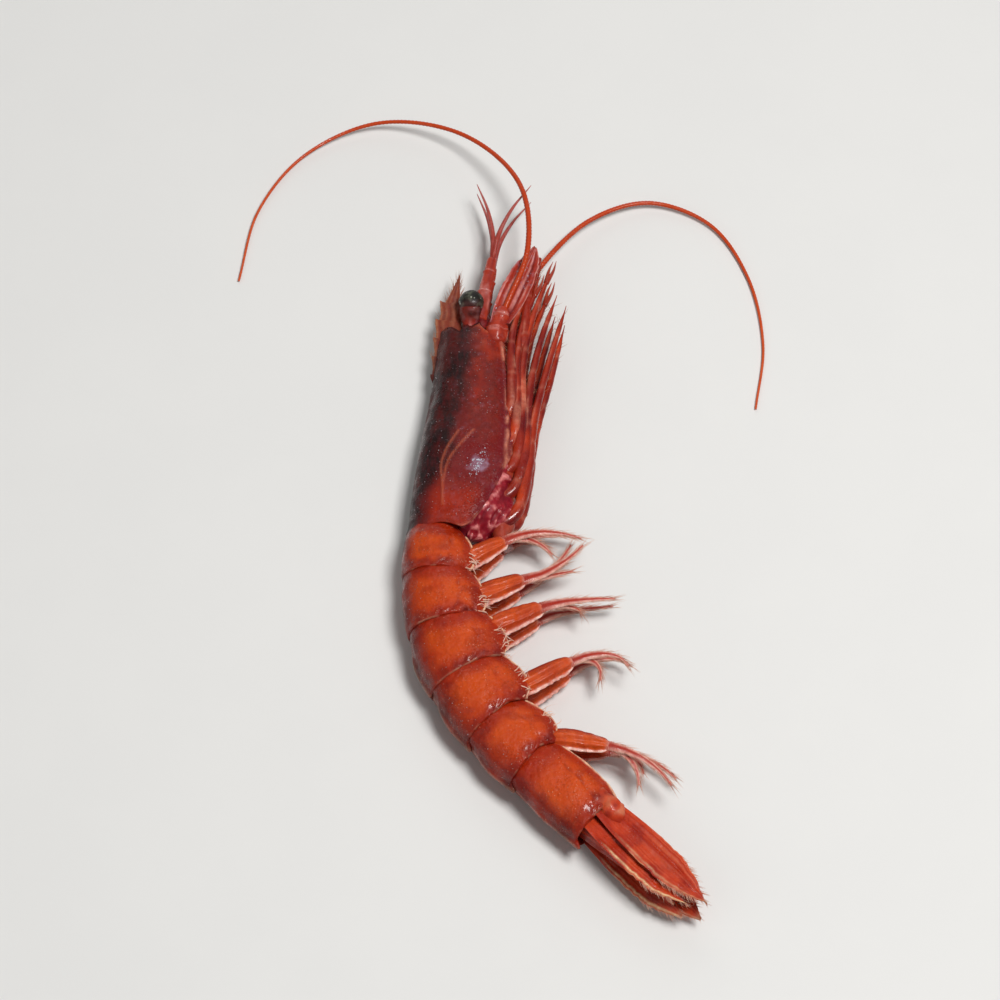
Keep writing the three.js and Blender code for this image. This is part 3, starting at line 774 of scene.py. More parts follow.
def rostrum():
    """The crest and the beak ahead of the eyes: one thin toothed blade with a rib along it."""
    t, a = rings(300, 32)
    ahead = mix(-CREST_LENGTH, ROSTRUM_LENGTH, t)
    share = np.clip(ahead / ROSTRUM_LENGTH, 0, 1)
    bottom = -ROSTRUM_HEIGHT * np.where(share > 0, 0.8 * (1 - share) ** 1.4, 0.85) + 0.05
    up = (1 + np.cos(a)) / 2
    top, tooth = rostrum_top(ahead)
    height = mix(bottom, top, up)
    sag = np.where(ahead > 0, ahead * math.tan(ROSTRUM_DROOP) * (1 - 0.35 * share), 0)
    rib = 0.5 * hump(up, 0.35, 0.1) + 0.35 * hump(up, 0.72, 0.05)
    half = ROSTRUM_THICKNESS / 2 * (1 - 0.65 * share) * (1 - 0.62 * up ** 2)
    w = np.sign(a) * half * np.abs(np.sin(a)) ** 0.6 * (1 + rib)
    lean = 1.1 * tooth * up ** 3
    grid = at(-ahead - lean, sag - height, w)
    streak = streaked(ahead / 4, up * 9, 15)
    beak = smooth(-7, 2, ahead)
    top_edge = smooth(0.86, 0.98, up) * smooth(-14, -4, ahead)
    ribs = hump(up, 0.35, 0.07) + hump(up, 0.72, 0.05)
    masks = {
        "rim": 0.6 * top_edge + 0.35 * (1 - smooth(0, 0.08, up)) + 0.3 * beak * ribs,
        "glow": beak * (0.5 + 0.4 * streak),
        "stain": 0.85 * (1 - smooth(-12, 0, ahead)) + 0.5 * beak * smooth(0.0, 0.5, streak),
    }
    return Shape().add_skin(grid, **masks)


def rostrum_bristles():
    """Fine bristles that stand between the teeth of the crest and lie along the beak."""
    shape = Shape()
    for _ in range(HAIR_COUNTS["rostrum"]):
        ahead = random.uniform(-9, ROSTRUM_LENGTH * 0.9)
        share = max(0, ahead / ROSTRUM_LENGTH)
        sag = max(0, ahead) * math.tan(ROSTRUM_DROOP) * (1 - 0.35 * share)
        height = rostrum_top(np.array(ahead))[0] - 0.2
        if random.random() < 0.4:
            height = -ROSTRUM_HEIGHT * 0.8 * (1 - share) ** 1.4 if ahead > 0 else height
        root = at(-ahead, sag - height, 0)
        depth = sag - height - random.uniform(-0.1, 0.4) * np.sign(height)
        forward = at(-ahead - 1, depth, 0) - root
        add_hair(shape, root, forward, random.uniform(1.2, 3.4), random.normal(0, 0.3, 3), 0.055)
    return shape


# ---- tail plates and fan --------------------------------------------------------------------


def plate_skin(index, t, a):
    """Points of a tail plate: a hoop over the back with a scalloped lobe on each side."""
    length, _, depth, half_width = PLATES[index]
    start = PLATE_ENDS[index] - length - OVERLAP
    last = index == len(PLATES) - 1
    lobe = LAST_SCALLOP if last else SCALLOP
    after = PLATES[index + 1] if not last else Plate(0, 0, depth * 0.84, half_width * 0.8)
    low = (1 - np.cos(a)) / 2
    turned = np.abs(a)
    tip = np.sin(math.pi * np.minimum(t / 0.72, 1) / 2) - 0.55 * smooth(0.75, 1, t) ** 2
    here = mix(depth, min(depth, after.depth), 0.6 * t * t)
    tuck = 0.16 * (1 - smooth(0.1, 0.5, t)) if index == 0 else 0
    wide = mix(half_width, after.half_width, 0.5 * t * t) * (1 - tuck)
    lift = LIP * (smooth(0.1, 0.9, t) * 1.2 - 0.9 * (1 - smooth(0, 0.25, t)))
    lift = lift + 0.35 * np.sin(math.pi * t)
    d, w = plate_section(a, here - lobe * (1 - tip), wide, LOBE_HANG)
    s = start + t * (length + OVERLAP) + 1.5 * smooth(0.6, 1, low) * smooth(0.5, 1, t)
    place = at(s, d, w)
    keel = hump(a, 0, 0.09) * smooth(0.25, 0.6, t) * (0.5 if index > 1 else 0)
    crumple = smooth(0.66, 0.95, t) * smooth(0.9, 1.7, turned) + 0.6 * (1 - smooth(0.25, 0.4, t))
    lift = lift + 0.14 * noise(place, 4.5, index) + 0.05 * noise(place, 1.5, 9) + keel
    lift = lift + 0.22 * crumple * noise(place * (1, 1.4, 1), 1.7, index + 50)
    lift = lift - 0.22 * plate_crease(t, turned) - 0.25 * plate_hinge(t, turned)
    lift = lift - 0.4 * smooth(0.985, 1, t)
    spine = 1.5 * hump(a, 0, 0.1) * smooth(0.85, 1, t) ** 2 if index > 2 else 0
    return at(s + spine, d - lift * np.cos(a), w + lift * np.sin(a))


def plate_crease(t, turned):
    """The fold that marks the side lobe off from the flank, curving up at its rear."""
    sway = 0.06 * np.sin(9 * t) + 0.03 * np.sin(23 * t)
    return hump(turned, 2.0 - 0.5 * t ** 3 + sway, 0.05) * smooth(0.3, 0.5, t)


def plate_hinge(t, turned):
    """The dimple at the joint with the next plate."""
    return hump(turned, math.radians(80), 0.1) * smooth(0.86, 0.95, t)


def plate(index):
    t, a = rings(92, 156)
    grid = plate_skin(index, t, a)
    turned = np.abs(a)
    cloud = noise(grid, 4.5, index + 20)
    fine = noise(grid, 1.3, index + 60)
    blotch = noise(grid, 2.6, index + 65)
    dorsal = 1 - smooth(0.3, 1.05, turned + 0.12 * cloud)
    rear = smooth(0.8, 0.97, t + 0.05 * fine) * smooth(0.5, 1.0, turned)
    # Painted shadow just behind the plate in front.
    painted_front_shadow = 1 - smooth(0.28, 0.42, t + 0.04 * cloud)
    below_edge = smooth(LOBE_TIP + 0.05, LOBE_TIP + 0.2, turned)
    edge = smooth(LOBE_TIP - 0.1, LOBE_TIP - 0.03, turned) * (1 - below_edge)
    flank = smooth(0.3, 1.15, turned + 0.15 * cloud) * (1 - smooth(1.95, 2.4, turned + 0.15 * fine))
    middle = smooth(0.2, 0.5, t + 0.06 * cloud) * (1 - smooth(0.74, 0.96, t + 0.06 * fine))
    masks = {
        # Orange flesh seen through the shell, and a painted soft highlight in the middle of the
        # flank.
        "glow": (0.95 + 0.3 * cloud + 0.25 * fine) * flank * middle,
        # Red pigment, with painted shade along the back and a painted shadow just behind the plate
        # in front.
        "wine": 0.8 * dorsal + 0.65 * rear + 0.4 * painted_front_shadow + 0.4 * hump(turned, 2.25, 0.15)
        + 0.4 * smooth(0.15, 0.6, blotch),
        # Dark pigment along the back and at the rear, partly painted shade along the back.
        "stain": 0.7 * hump(a, 0, 0.5) * smooth(-0.6, 0.3, cloud)
        + 0.3 * rear * smooth(0, 0.5, fine),
        # Painted shade in the fold above the side lobe and in the hinge dimple.
        "groove": 0.8 * plate_crease(t, turned) * smooth(-0.4, 0.4, fine)
        + 0.6 * plate_hinge(t, turned),
        "rim": 0.55 * edge * smooth(0.22, 0.4, t) * smooth(-0.4, 0.3, fine)
        + 0.3 * smooth(0.982, 0.99, t) * smooth(0.0, 0.5, fine) * (1 - dorsal)
        + 0.25 * hump(a, 0, 0.05) * (index > 1),
        "ice": 0.5 * dorsal * smooth(0.3, 0.9, t) * smooth(-0.2, 0.5, cloud) + 0.35 * rear,
    }
    grid, masks = with_hollow(grid, masks, PLATE_ENDS[index])
    shape = Shape().add_skin(grid, **masks)
    for side in SIDES.values():
        add_lobe_hem(shape, index, side)
    return shape


def add_lobe_hem(shape, index, side):
    """The cream bead along a side lobe's lower edge, thick in some places and thin in others."""
    t = np.linspace(0.26, 0.95, 16)
    points = plate_skin(index, t, np.full(t.shape, side * LOBE_TIP))
    lumps = 1 + 0.7 * noise(points, 2.2, index + 110)

    def radius(t):
        return 0.2 * np.interp(t, np.linspace(0, 1, len(lumps)), lumps) * closed(t, 0.1, 0.1)

    grid = limb_grid(points, radius, 0.8, 60, 8)[0]
    shape.add_skin(grid, rim=0.95)


def telson():
    """The pointed middle blade of the tail, with a channel along it and a spine at its tip."""
    t, a = rings(110, 56)
    depth = PLATES[-1].depth
    taper = 1 - 0.82 * t ** 1.2
    w = 3.1 * taper * np.sin(a)
    channel = 0.45 * taper * hump(np.abs(a), 0, 0.35)
    d = depth * 0.12 + 2 * t + 1.5 * taper * (1 - np.cos(a)) + channel
    grid = at(BODY_LENGTH - 1.5 + TELSON_LENGTH * t, d, w)
    grid = grid + 0.1 * noise(grid, 1.8, 16)[..., None] * (0, 0, 1)
    ribs = hump(np.abs(a), 0.62, 0.16)
    streak = streaked(t * 5, a * 4, 17)
    return Shape().add_skin(
        grid, glow=0.5 * ribs + 0.3 * streak, wine=0.7 * (1 - ribs) * (1 - smooth(0.5, 1, t)),
        rim=0.5 * smooth(0.9, 1, t) + 0.3 * hump(np.abs(a), 1.5, 0.1),
        ice=0.5 * (1 - smooth(0, 0.4, t)),
    )


def blade_grid(middle, breadth, thickness, height, rows=120, sides=72):
    """A ribbed leaf along the body with a frayed, wavy edge."""
    t, a = rings(rows, sides)
    across = np.cos(a)
    s, d = middle(t)
    rib = hump(across, 0.1, 0.12) + 0.8 * hump(across, -0.82, 0.06) + 0.6 * hump(across, 0.66, 0.09)
    ribs = rib * smooth(0.02, 0.2, t) * (1 - smooth(0.8, 1, t))
    full = np.abs(np.sin(a)) ** 0.7
    half = np.sign(np.sin(a)) * thickness / 2 * full * (0.6 + ribs)
    crease = -0.5 * hump(across, 0.36, 0.09) * smooth(0.08, 0.25, t) * (1 - smooth(0.7, 0.9, t))
    wave = 0.45 * np.sin(9 * t + 2.5 * across) * across ** 2 * smooth(0.3, 0.9, t)
    nibbled = noise(np.stack([t * 9, np.sign(across) + 0 * t, s], axis=-1), 1, 28)
    frayed = 1 + 0.1 * nibbled * smooth(0.3, 0.7, t)
    fine = 0.05 * np.cos(26 * across) * np.sign(np.sin(a)) * smooth(0.05, 0.3, t)
    place = at(s, d + across * breadth(t) * frayed, height(t, across) + half + crease + wave + fine)
    lump = 0.12 * noise(place, 1.6, 18) + 0.25 * noise(place, 4, 19) * smooth(0, 0.3, 1 - t)
    place[..., 2] += lump
    return place, t, across, ribs


def blade_breadth(blade, t):
    """Half breadth of a fan blade, which narrows on a curve to a blunt tip."""
    rounded = np.maximum(0.05, 1 - np.clip((t - 0.6) / 0.4, 0, 1) ** 2.2)
    return blade.half_breadth * (0.72 + 0.28 * np.sin(math.pi * t)) * rounded


def blade_middle(blade, side, t):
    """Body coordinates s and d of a fan blade's middle line."""
    drift = blade.drift + blade.lean * side
    return BODY_LENGTH - BLADE_START + blade.length * t, blade.root + drift * t


def blade_height(blade, side, t, across):
    return side * (blade.rise - blade.fall * t - BLADE_SLANT * across)


def fan_blade(blade, side):
    """A ribbed blade of the tail's fan, worn at its edge."""
    grid, t, across, ribs = blade_grid(
        lambda t: blade_middle(blade, side, t), lambda t: blade_breadth(blade, t), BLADE_THICKNESS,
        lambda t, across: blade_height(blade, side, t, across),
    )
    edge = smooth(0.93, 0.995, np.abs(across)) * smooth(0.1, 0.4, t)
    streak = streaked(t * 2.2, across * 16, 6)
    hairy = smooth(0.3, 0.42, across) * smooth(0.1, 0.3, t)
    worn = noise(grid, 3.2, 41)
    cream = hump(across, -0.82, 0.07 + 0.06 * smooth(0.5, 1, t)) * smooth(0.15, 0.4, t)
    between = 0.4 * hump(across, 0.36, 0.08) + 0.5 * smooth(0.1, 0.5, -worn)
    masks = {
        "glow": 0.5 + 0.45 * streak + 0.3 * worn - 0.4 * ribs,
        "wine": 0.5 * ribs * (1 - cream) + between,
        "rim": 0.45 * edge * smooth(-0.4, 0.3, worn) + blade.pale * cream + 0.3 * smooth(0.93, 1, t),
        "groove": (0.35 + 0.5 * hairy) * smooth(0.05, 0.5, streak) * smooth(0.2, 0.6, t),
    }
    return Shape().add_skin(grid, **masks)


def fan_fringe(side):
    """Short hair along the outer parts of the fan's blades, which the water lays back."""
    shape = Shape()
    for blade in BLADES.values():
        for _ in range(HAIR_COUNTS["fan_blade"]):
            t = random.uniform(0.6, 0.995)
            edge = random.choice((-1, 1)) if t < 0.93 else random.uniform(-0.8, 0.8)
            s = blade_middle(blade, side, min(t, 0.975))[0]
            d = blade_middle(blade, side, t)[1] + edge * blade_breadth(blade, t) * 0.94
            w = blade_height(blade, side, t, edge)
            start = at(s, d, w)
            out = at(s + 1, d + edge * 0.45, w) - start
            add_hair(shape, start, out, random.uniform(0.9, 2.0), random.normal(0, 0.12, 3), 0.07)
    return shape


def blade_root(side):
    """The knob that carries the two blades of one side."""
    points = [
        at(BODY_LENGTH - 4, 8.6, side * 2.6),
        at(BODY_LENGTH - 0.5, 9.2, side * 3.6),
        at(BODY_LENGTH + 5, 8.4, side * 3.5),
    ]

    def radius(t):
        return (2.6 - 0.45 * hump(t, 0.42, 0.08) - 1.2 * smooth(0.5, 1, t)) * closed(t, 0.01, 0.25)

    grid, t, _ = limb_grid(points, radius, 0.85, 56, 40)
    lump = noise(grid, 1.5, 8)
    grid = grid + (0.26 * lump + 0.08 * noise(grid, 0.8, 42))[..., None]
    return Shape().add_skin(
        grid, glow=0.6, rim=0.18 * smooth(0.0, 0.5, lump), groove=0.55 * hump(t, 0.42, 0.1),
        wine=0.4 * (1 - smooth(0.2, 0.4, t)) + 0.7 * smooth(0.05, 0.5, -lump),
    )


# ---- head -----------------------------------------------------------------------------------


def head_core():
    t, a = rings(50, 48)
    size = np.sqrt(1 - 0.82 * (1 - t) ** 2)
    s = HEAD_START + HEAD_LENGTH * t
    d = 7.6 - 4.6 * size * np.cos(a)
    half = 3.6 * size
    grid = at(s, d, half * np.sin(a))
    lump = 0.35 * noise(grid, 2.2, 3) + 0.15 * noise(grid, 0.9, 4)
    grid = at(s, d - lump * np.cos(a), (half + lump) * np.sin(a))
    stain = 0.45 * smooth(-0.3, 0.5, noise(grid, 2, 7))
    return Shape().add_skin(grid, wine=0.7, stain=stain, glow=0.3)


def eyeball(side):
    centre = at(-5.2, 5.3, side * 3.9)
    t, a = rings(36, 48)
    turn = math.pi * np.clip(t, 0.004, 0.996)
    away = np.sin(turn)
    around = np.stack([away * np.cos(a), np.cos(turn), 0.86 * away * np.sin(a)], axis=-1)
    dent = 1 + 0.05 * noise(around * 3, 1.6, 33)
    rear = smooth(0.5, 0.72, t + 0.06 * noise(around * 3, 1.1, 34))
    return Shape().add_skin(centre + EYE_RADIUS * dent[..., None] * around, wine=rear)


def eye_stalk(side):
    """A short stalk that widens into a soft collar round the back of the eye."""
    points = [at(2, 5.6, side * 1.6), at(-2, 5.4, side * 2.6), at(-5, 5.3, side * 3.8)]

    def radius(t):
        return 1.3 + 1.1 * smooth(0.15, 0.8, t) - 1.9 * smooth(0.85, 1, t)

    grid, t, _ = limb_grid(points, radius, 1, 48, 36)
    lump = noise(grid, 1.3, 29)
    grid = grid + 0.18 * lump[..., None]
    return Shape().add_skin(
        grid, glow=0.5 + 0.3 * lump, wine=0.7 * (1 - t), ice=0.4,
        stain=0.9 * smooth(0.3, 0.66, t + 0.12 * lump), rim=0.35 * smooth(0.1, 0.5, lump) * (1 - t),
    )


# How far past a joint its waist and the middle of its pale skin are, as shares of the length.
WAIST = 0.03
PALE_SKIN = 0.028


def joints(t, places, swell=0.16):
    """A swelling at each joint of a limb and a waist just past it, as a factor of its radius."""
    factor = np.ones_like(t)
    for place in places:
        factor = factor + swell * hump(t, place, 0.02) - 0.9 * swell * hump(t, place + WAIST, 0.014)
    return factor


def joint_mask(t, places):
    """1 at each joint's pale skin, falling off quickly to 0."""
    return np.maximum.reduce([hump(t, place + PALE_SKIN, 0.012) for place in places])


def antennule(side):
    """A jointed stalk with two short lashes."""
    shape = Shape()
    stalk = [at(-2, 7.2, side * 1.9), at(-9, 7.8, side * 2.2), at(-18, 8.6, side * 2.0)]
    places = (0.42, 0.74)
    grid, t, a = limb_grid(
        stalk, lambda t: (1.8 - 0.8 * t) * joints(t, places) * closed(t, 0.01, 0.05), 0.8, 90, 20
    )
    grid = grid + 0.08 * noise(grid, 1.3, 21)[..., None]
    streak = streaked(t * 4, a * 1.5, 22)
    shape.add_skin(
        grid, glow=0.75, wine=0.6 * hump(np.abs(a), 1.9, 0.5),
        rim=0.5 * joint_mask(t, places) + 0.4 * smooth(0.3, 0.7, streak),
    )
    for k, lean in enumerate((6, -5)):
        points = [
            at(-17.5 - 6.2 * i, 8.6 + lean * 0.12 * i * i, side * (2 + 0.5 * i * (1 - k)))
            for i in range(4)
        ]
        grid, t, _ = limb_grid(
            points, lambda t: ringed(0.66 * (1.04 - t) ** 0.7, t, 46), 0.75, 184, 8
        )
        shape.add_skin(grid, glow=0.45, wine=0.35, rim=0.35 * t)
    return shape


def ringed(radius, t, count):
    """The radius of a whip made of count fine rings."""
    return radius * (1 + RING_HEIGHT * np.sin(2 * math.pi * count * t))


def antenna_foot(side):
    """The stout jointed foot of a feeler, which comes out from under the cheek."""
    points = [at(4, 11.2, side * 2.0), at(-0.5, 11.6, side * 3.2), at(-5, 12.4, side * 3.7)]
    places = (0.4, 0.72)

    def radius(t):
        return FOOT_RADIUS * np.cos(1.1 * t) * joints(t, places, 0.12) * closed(t, 0.2, 0.08)

    grid, t, _ = limb_grid(points, radius, 0.8, 80, 44)
    lump = noise(grid, 1.7, 11)
    grid = grid + 0.3 * lump[..., None]
    return Shape().add_skin(
        grid, glow=0.7, wine=0.5 * (1 - smooth(0, 0.4, t)) + 0.5 * smooth(0, 0.5, -lump),
        rim=0.35 * joint_mask(t, places) + 0.4 * smooth(0.35, 0.7, lump), ice=0.2,
    )


def antenna_scale(side):
    """A leaf-like scale with a stiff outer edge, folded along the side of the head."""
    def middle(t):
        return -0.5 - (SCALE_LENGTH + 1) * t, 12 + 5.6 * t

    def breadth(t):
        leaf = np.sqrt(np.sin(math.pi * (0.14 + 0.8 * t)))
        return SCALE_BREADTH / 2 * leaf * np.sqrt(1 - 0.985 * t ** 6)

    def height(t, across):
        return side * (3.3 - 0.3 * t + 0.9 * across * across)

    grid, t, across, _ = blade_grid(middle, breadth, SCALE_THICKNESS, height, 110, 64)
    edge = smooth(0.84, 0.99, np.abs(across))
    streak = streaked(t * 3, across * 8, 23)
    masks = {
        "glow": 0.5 + 0.4 * streak,
        "wine": 0.8 * hump(across, 0.36, 0.12) + 0.6 * hump(across, -0.45, 0.15)
        + 0.5 * (1 - smooth(0, 0.3, t)),
        "rim": 0.55 * edge + 0.8 * smooth(-0.1, 0.5, streak) * smooth(0.1, 0.3, t),
        "ice": 0.45,
    }
    return Shape().add_skin(grid, **masks)


FEELER_STEPS = {
    "right": ((5, 14, 12.5), (3, 32, 11), (-10, 47, 7), (-28, 52, 3.2), (-44, 45, 1.2),
              (-54, 31, 0.7), (-58, 13, 0.5)),
    "left": ((7, 13, 4.5), (19, 27, 3.2), (32, 32, 2), (45, 27, 1.1), (53, 14, 0.7),
             (56, -3, 0.5), (54, -19, 0.5)),
}


def feeler(name):
    """A long ringed whip that comes down to the surface on which the body lies."""
    root = at(-4.2, 12.6, 3.7 * SIDES[name])
    points = [root] + [(root[0] + x, root[1] + y, z) for x, y, z in FEELER_STEPS[name]]
    grid, t, _ = limb_grid(
        points, lambda t: ringed(FEELER_RADIUS * (1.45 - t) + 0.06, t, 150), 1, 600, 8
    )
    return Shape().add_skin(
        grid, glow=0.5 + 0.5 * t, wine=0.3 * (1 - t), rim=0.25 * smooth(0.6, 1, t)
    )


# ---- legs -----------------------------------------------------------------------------------

LEG_JOINTS = (0.1, 0.36, 0.6, 0.83)


def leg_roots():
    """The knobbly ridge under the carapace from which the legs grow."""
    t, a = rings(120, 40)
    s = LEG_RIDGE_START + (CARAPACE_LENGTH - LEG_RIDGE_START) * t
    size = 0.6 + 0.4 * np.sin(math.pi * t)
    knobs = 0.55 * np.cos(2 * math.pi * (s - FIRST_LEG_ROOT) / LEG_ROOT_STEP) * smooth(15, 21, s)
    reach = 3.2 * size + knobs * smooth(0, -0.6, np.cos(a))
    grid = at(s, carapace_depth(s) - 2.2 - reach * np.cos(a), 4.6 * size * np.sin(a))
    lump = noise(grid, 3, 12)
    return Shape().add_skin(
        grid, wine=0.55 - 0.3 * lump, glow=0.5 * smooth(-0.2, 0.5, lump), rim=0.1
    )


def leg_points(index, side):
    root = FIRST_LEG_ROOT + LEG_ROOT_STEP * index
    length = LEG_LENGTHS[index] - (3 if side < 0 else 0)
    out = 0.4 + 0.75 * index
    w = side * (3.9 - 0.4 * index)
    stations = (
        (-1.5, -3.5, 0.8), (2.5, out * 0.5 - 0.6, 1.05), (length * 0.25, out, 1.2),
        (length * 0.5, out * 1.3 + 0.5, 1.1), (length * 0.75, out * 2.3 + 1.6, 0.9),
        (length, out * 3 + 2.8, 0.7),
    )
    return [at(root - ahead, carapace_depth(root - ahead) + below, w * share)
            for ahead, below, share in stations]


def walking_leg(index, side):
    """A slender jointed leg. The first three pairs end in a small pincer."""
    points = leg_points(index, side)

    def radius(t):
        belly = 0.1 * np.abs(np.sin(math.pi * np.interp(t, (0, *LEG_JOINTS, 1), range(6))))
        shaft = LEG_RADIUS * (1.13 - 0.8 * t) * (joints(t, LEG_JOINTS, 0.1) + belly)
        return shaft * (1 - 0.8 * smooth(0.88, 1, t)) if index > 2 else shaft

    grid, t, a = limb_grid(points, radius, 0.9, 170, 16)
    grid = grid + 0.07 * noise(grid * (2, 0.6, 1), 1.5, index)[..., None]
    patch = noise(grid, 5, index + 30)
    streak = streaked(t * 7, a * 1.3, index + 70)
    shape = Shape().add_skin(
        grid, wine=0.4 + 0.5 * patch + 0.5 * hump(np.abs(a), 2.4, 0.5), glow=0.6 - 0.6 * patch,
        rim=0.22 * joint_mask(t, LEG_JOINTS) + 0.4 * smooth(0.2, 0.6, streak),
    )
    if index < 3:
        add_pincer(shape, np.array(points[-2]), np.array(points[-1]))
    return shape


def add_pincer(shape, before, tip):
    ahead = (tip - before) / np.linalg.norm(tip - before)
    sideways = np.cross((0, 0, 1), ahead)
    for lean, length in ((0.28, 4.2), (-0.34, 4.6)):
        line = [tip - 1.6 * ahead, tip + 0.4 * length * ahead + lean * sideways * 1.5,
                tip + length * ahead + lean * sideways]
        grid, t, _ = limb_grid(line, lambda t: 0.58 * (1.08 - t), 0.9, 16, 8)
        shape.add_skin(grid, wine=0.5, glow=0.4, rim=0.3 * t)


def leg_hair(side):
    """Sparse soft hair between the legs and along the limb below the mouth."""
    shape = Shape()
    lines = [leg_points(index, side) for index in range(5)] + [mouth_leg_points(side)]
    for points in lines:
        path, tangent = curve(points, 60)
        across = np.cross((0, 0, 1), tangent)
        for _ in range(HAIR_COUNTS["limb"]):
            i = random.integers(8, 58)
            edge = random.choice((-1, 1))
            out = 0.8 * tangent[i] + 0.5 * edge * across[i] + random.normal(0, 0.15, 3)
            root = path[i] + edge * across[i] * LEG_RADIUS * (0.9 - 0.7 * i / 60)
            add_hair(shape, root, out, random.uniform(0.8, 2.0), random.normal(0, 0.25, 3), 0.06)
    return shape


def mouth_leg_points(side):
    return [
        at(9, 13, side * 2.6), at(3, 17, side * 3),
        at(-8, 17.2, side * 2.6), at(-19, 18.6, side * 1.6),
    ]


def mouth_leg(side):
    """The stout hairy limb below the mouth."""
    places = (0.3, 0.62, 0.84)
    grid, t, a = limb_grid(
        mouth_leg_points(side), lambda t: (1.5 - 0.95 * t) * joints(t, places, 0.12), 0.8, 100, 18
    )
    grid = grid + 0.08 * noise(grid, 1.3, 24)[..., None]
    streak = streaked(t * 5, a * 1.3, 25)
    pale = 0.25 * joint_mask(t, places) + 0.35 * smooth(0.3, 0.7, streak)
    return Shape().add_skin(grid, wine=0.55, glow=0.4, rim=pale)


# ---- swimming legs --------------------------------------------------------------------------


def walk(place, angle, distance, rise):
    """A step of the given length from (s, d, w), turned from straight down towards the head."""
    s, d, w = place
    return (s - math.sin(angle) * distance, d + math.cos(angle) * distance, w + rise)


def swimmeret_points(index, side):
    """Points of a swimming leg's stem and of its outer and inner lash."""
    length, _, depth, half_width = PLATES[index]
    size = 1 - 0.06 * abs(index - 1.5)
    lean = math.radians(STEM_LEANS[index] + (FAR_LEAN if side < 0 else 0))
    hip = (PLATE_ENDS[index] - (1 - STEM_ROOTS[index]) * length, depth - 4, side * half_width * 0.5)
    knee = walk(hip, lean, 4.5, side * 0.4)
    foot = walk(knee, lean, STEM_LENGTH * size - 1, -side * 0.3)
    lashes = []
    for k, share in enumerate((1, 0.66)):
        curl = math.radians(LASH_CURLS[index] - 9 * k)
        path = [walk(foot, lean, -2.5, 0), foot]
        for i in range(1, 5):
            step = LASH_LENGTH * size * share / 4
            path.append(walk(path[-1], lean + curl * (i - 0.5), step, -side * (0.35 + 0.5 * k)))
        lashes.append([at(*place) for place in path])
    return [at(*place) for place in (hip, knee, foot)], lashes, size


def swimmeret_stem(index, side):
    """A flat leaf-like stem with a ridge along it and a pale crimped fin along its rear edge."""
    points, _, size = swimmeret_points(index, side)

    def radius(t):
        leaf = 0.66 + 0.3 * np.sin(math.pi * t ** 0.8) - 0.08 * t
        return STEM_RADIUS * size * leaf * closed(t, 0.01, 0.12)

    def flat(t, a):
        across = np.cos(a)
        fin = smooth(0.4, 0.75, -across) * smooth(0.05, 0.3, t)
        ridge = 0.3 + 0.12 * np.sin(5 * t + index)
        relief = 0.18 * hump(across, ridge, 0.2) - 0.1 * hump(across, ridge - 0.45, 0.12)
        return 0.6 * (1 - 0.7 * fin) + relief

    grid, t, a = limb_grid(points, radius, flat, 90, 60)
    across = np.cos(a)
    front = smooth(0.5, 0.95, across)
    rear = smooth(0.6, 0.9, -across) * smooth(0.12, 0.35, t)
    crimp = streaked(t * 17, 0.8 * across, index + 80)
    outward = grid - grid.mean(axis=1, keepdims=True)
    grid = grid + outward * (0.14 * rear * crimp)[..., None]
    lump = 0.2 * noise(grid, 2.6, index + 40) + 0.1 * noise(grid, 1.1, index + 45)
    lump = lump + 0.32 * rear * crimp
    grid = grid + lump[..., None] * (0.3, 0.3, 1)
    fine = noise(grid, 1.0, index + 90)
    patch = noise(grid, 3.5, index + 95)
    edge = smooth(0.7, 0.88, -across) * smooth(0.1, 0.3, t)
    masks = {
        "glow": 1 + 0.4 * patch - 0.7 * front,
        "wine": 0.6 * front + 0.3 * hump(across, -0.5, 0.14) + 0.3 * hump(t, 0, 0.2) - 0.3 * patch,
        "rim": 0.95 * edge + 0.5 * rear * smooth(-0.1, 0.35, fine) + 0.4 * smooth(0.9, 1, t),
    }
    return Shape().add_skin(grid, **masks)


def swimmeret_lashes(index, side):
    """Two tapered lashes of fine rings, with pale edges."""
    shape = Shape()
    _, lashes, size = swimmeret_points(index, side)
    for points in lashes:
        grid, t, a = limb_grid(
            points, lambda t: ringed(1.45 * size * (1 - 0.87 * t), t, 36), 0.45, 144, 14
        )
        edge = smooth(0.4, 0.8, np.abs(np.cos(a)))
        ridge = hump(np.cos(a), -0.1, 0.3)
        shape.add_skin(
            grid, glow=0.6 * (1 - t), wine=0.6 * (1 - edge) * (1 - t),
            rim=0.25 * t + 0.85 * edge * smooth(0.08, 0.25, t) - 0.3 * ridge,
        )
    return shape


def add_hair(shape, root, direction, length, bend, radius):
    """One hair from its root, bending by the given vector at its tip."""
    middle = root + 0.5 * length * direction + 0.2 * bend
    tip = root + length * direction + bend
    grid, t, _ = limb_grid([root, middle, tip], lambda t: radius * (1.05 - t), 1, 5, 3)
    shape.add_skin(grid, rim=0.25 + 0.75 * t)


def lash_fringe(side):
    """The swimming hair along both edges of each lash, laid flat by water."""
    shape = Shape()
    for index in range(5):
        for points in swimmeret_points(index, side)[1]:
            path, tangent = curve(points, 44)
            across = np.cross((0, 0, 1), tangent)
            for i in range(6, 44):
                for edge in (-1, 1):
                    out = 0.97 * tangent[i] + edge * random.uniform(0.12, 0.34) * across[i]
                    root = path[i] + edge * across[i] * 0.9 * (1 - i / 50)
                    root = root + (0, 0, random.normal(0, 0.1))
                    bend = edge * across[i] * random.normal(-0.15, 0.2) + random.normal(0, 0.12, 3)
                    add_hair(shape, root, out, random.uniform(1.8, 3.4), bend, 0.07)
    return shape


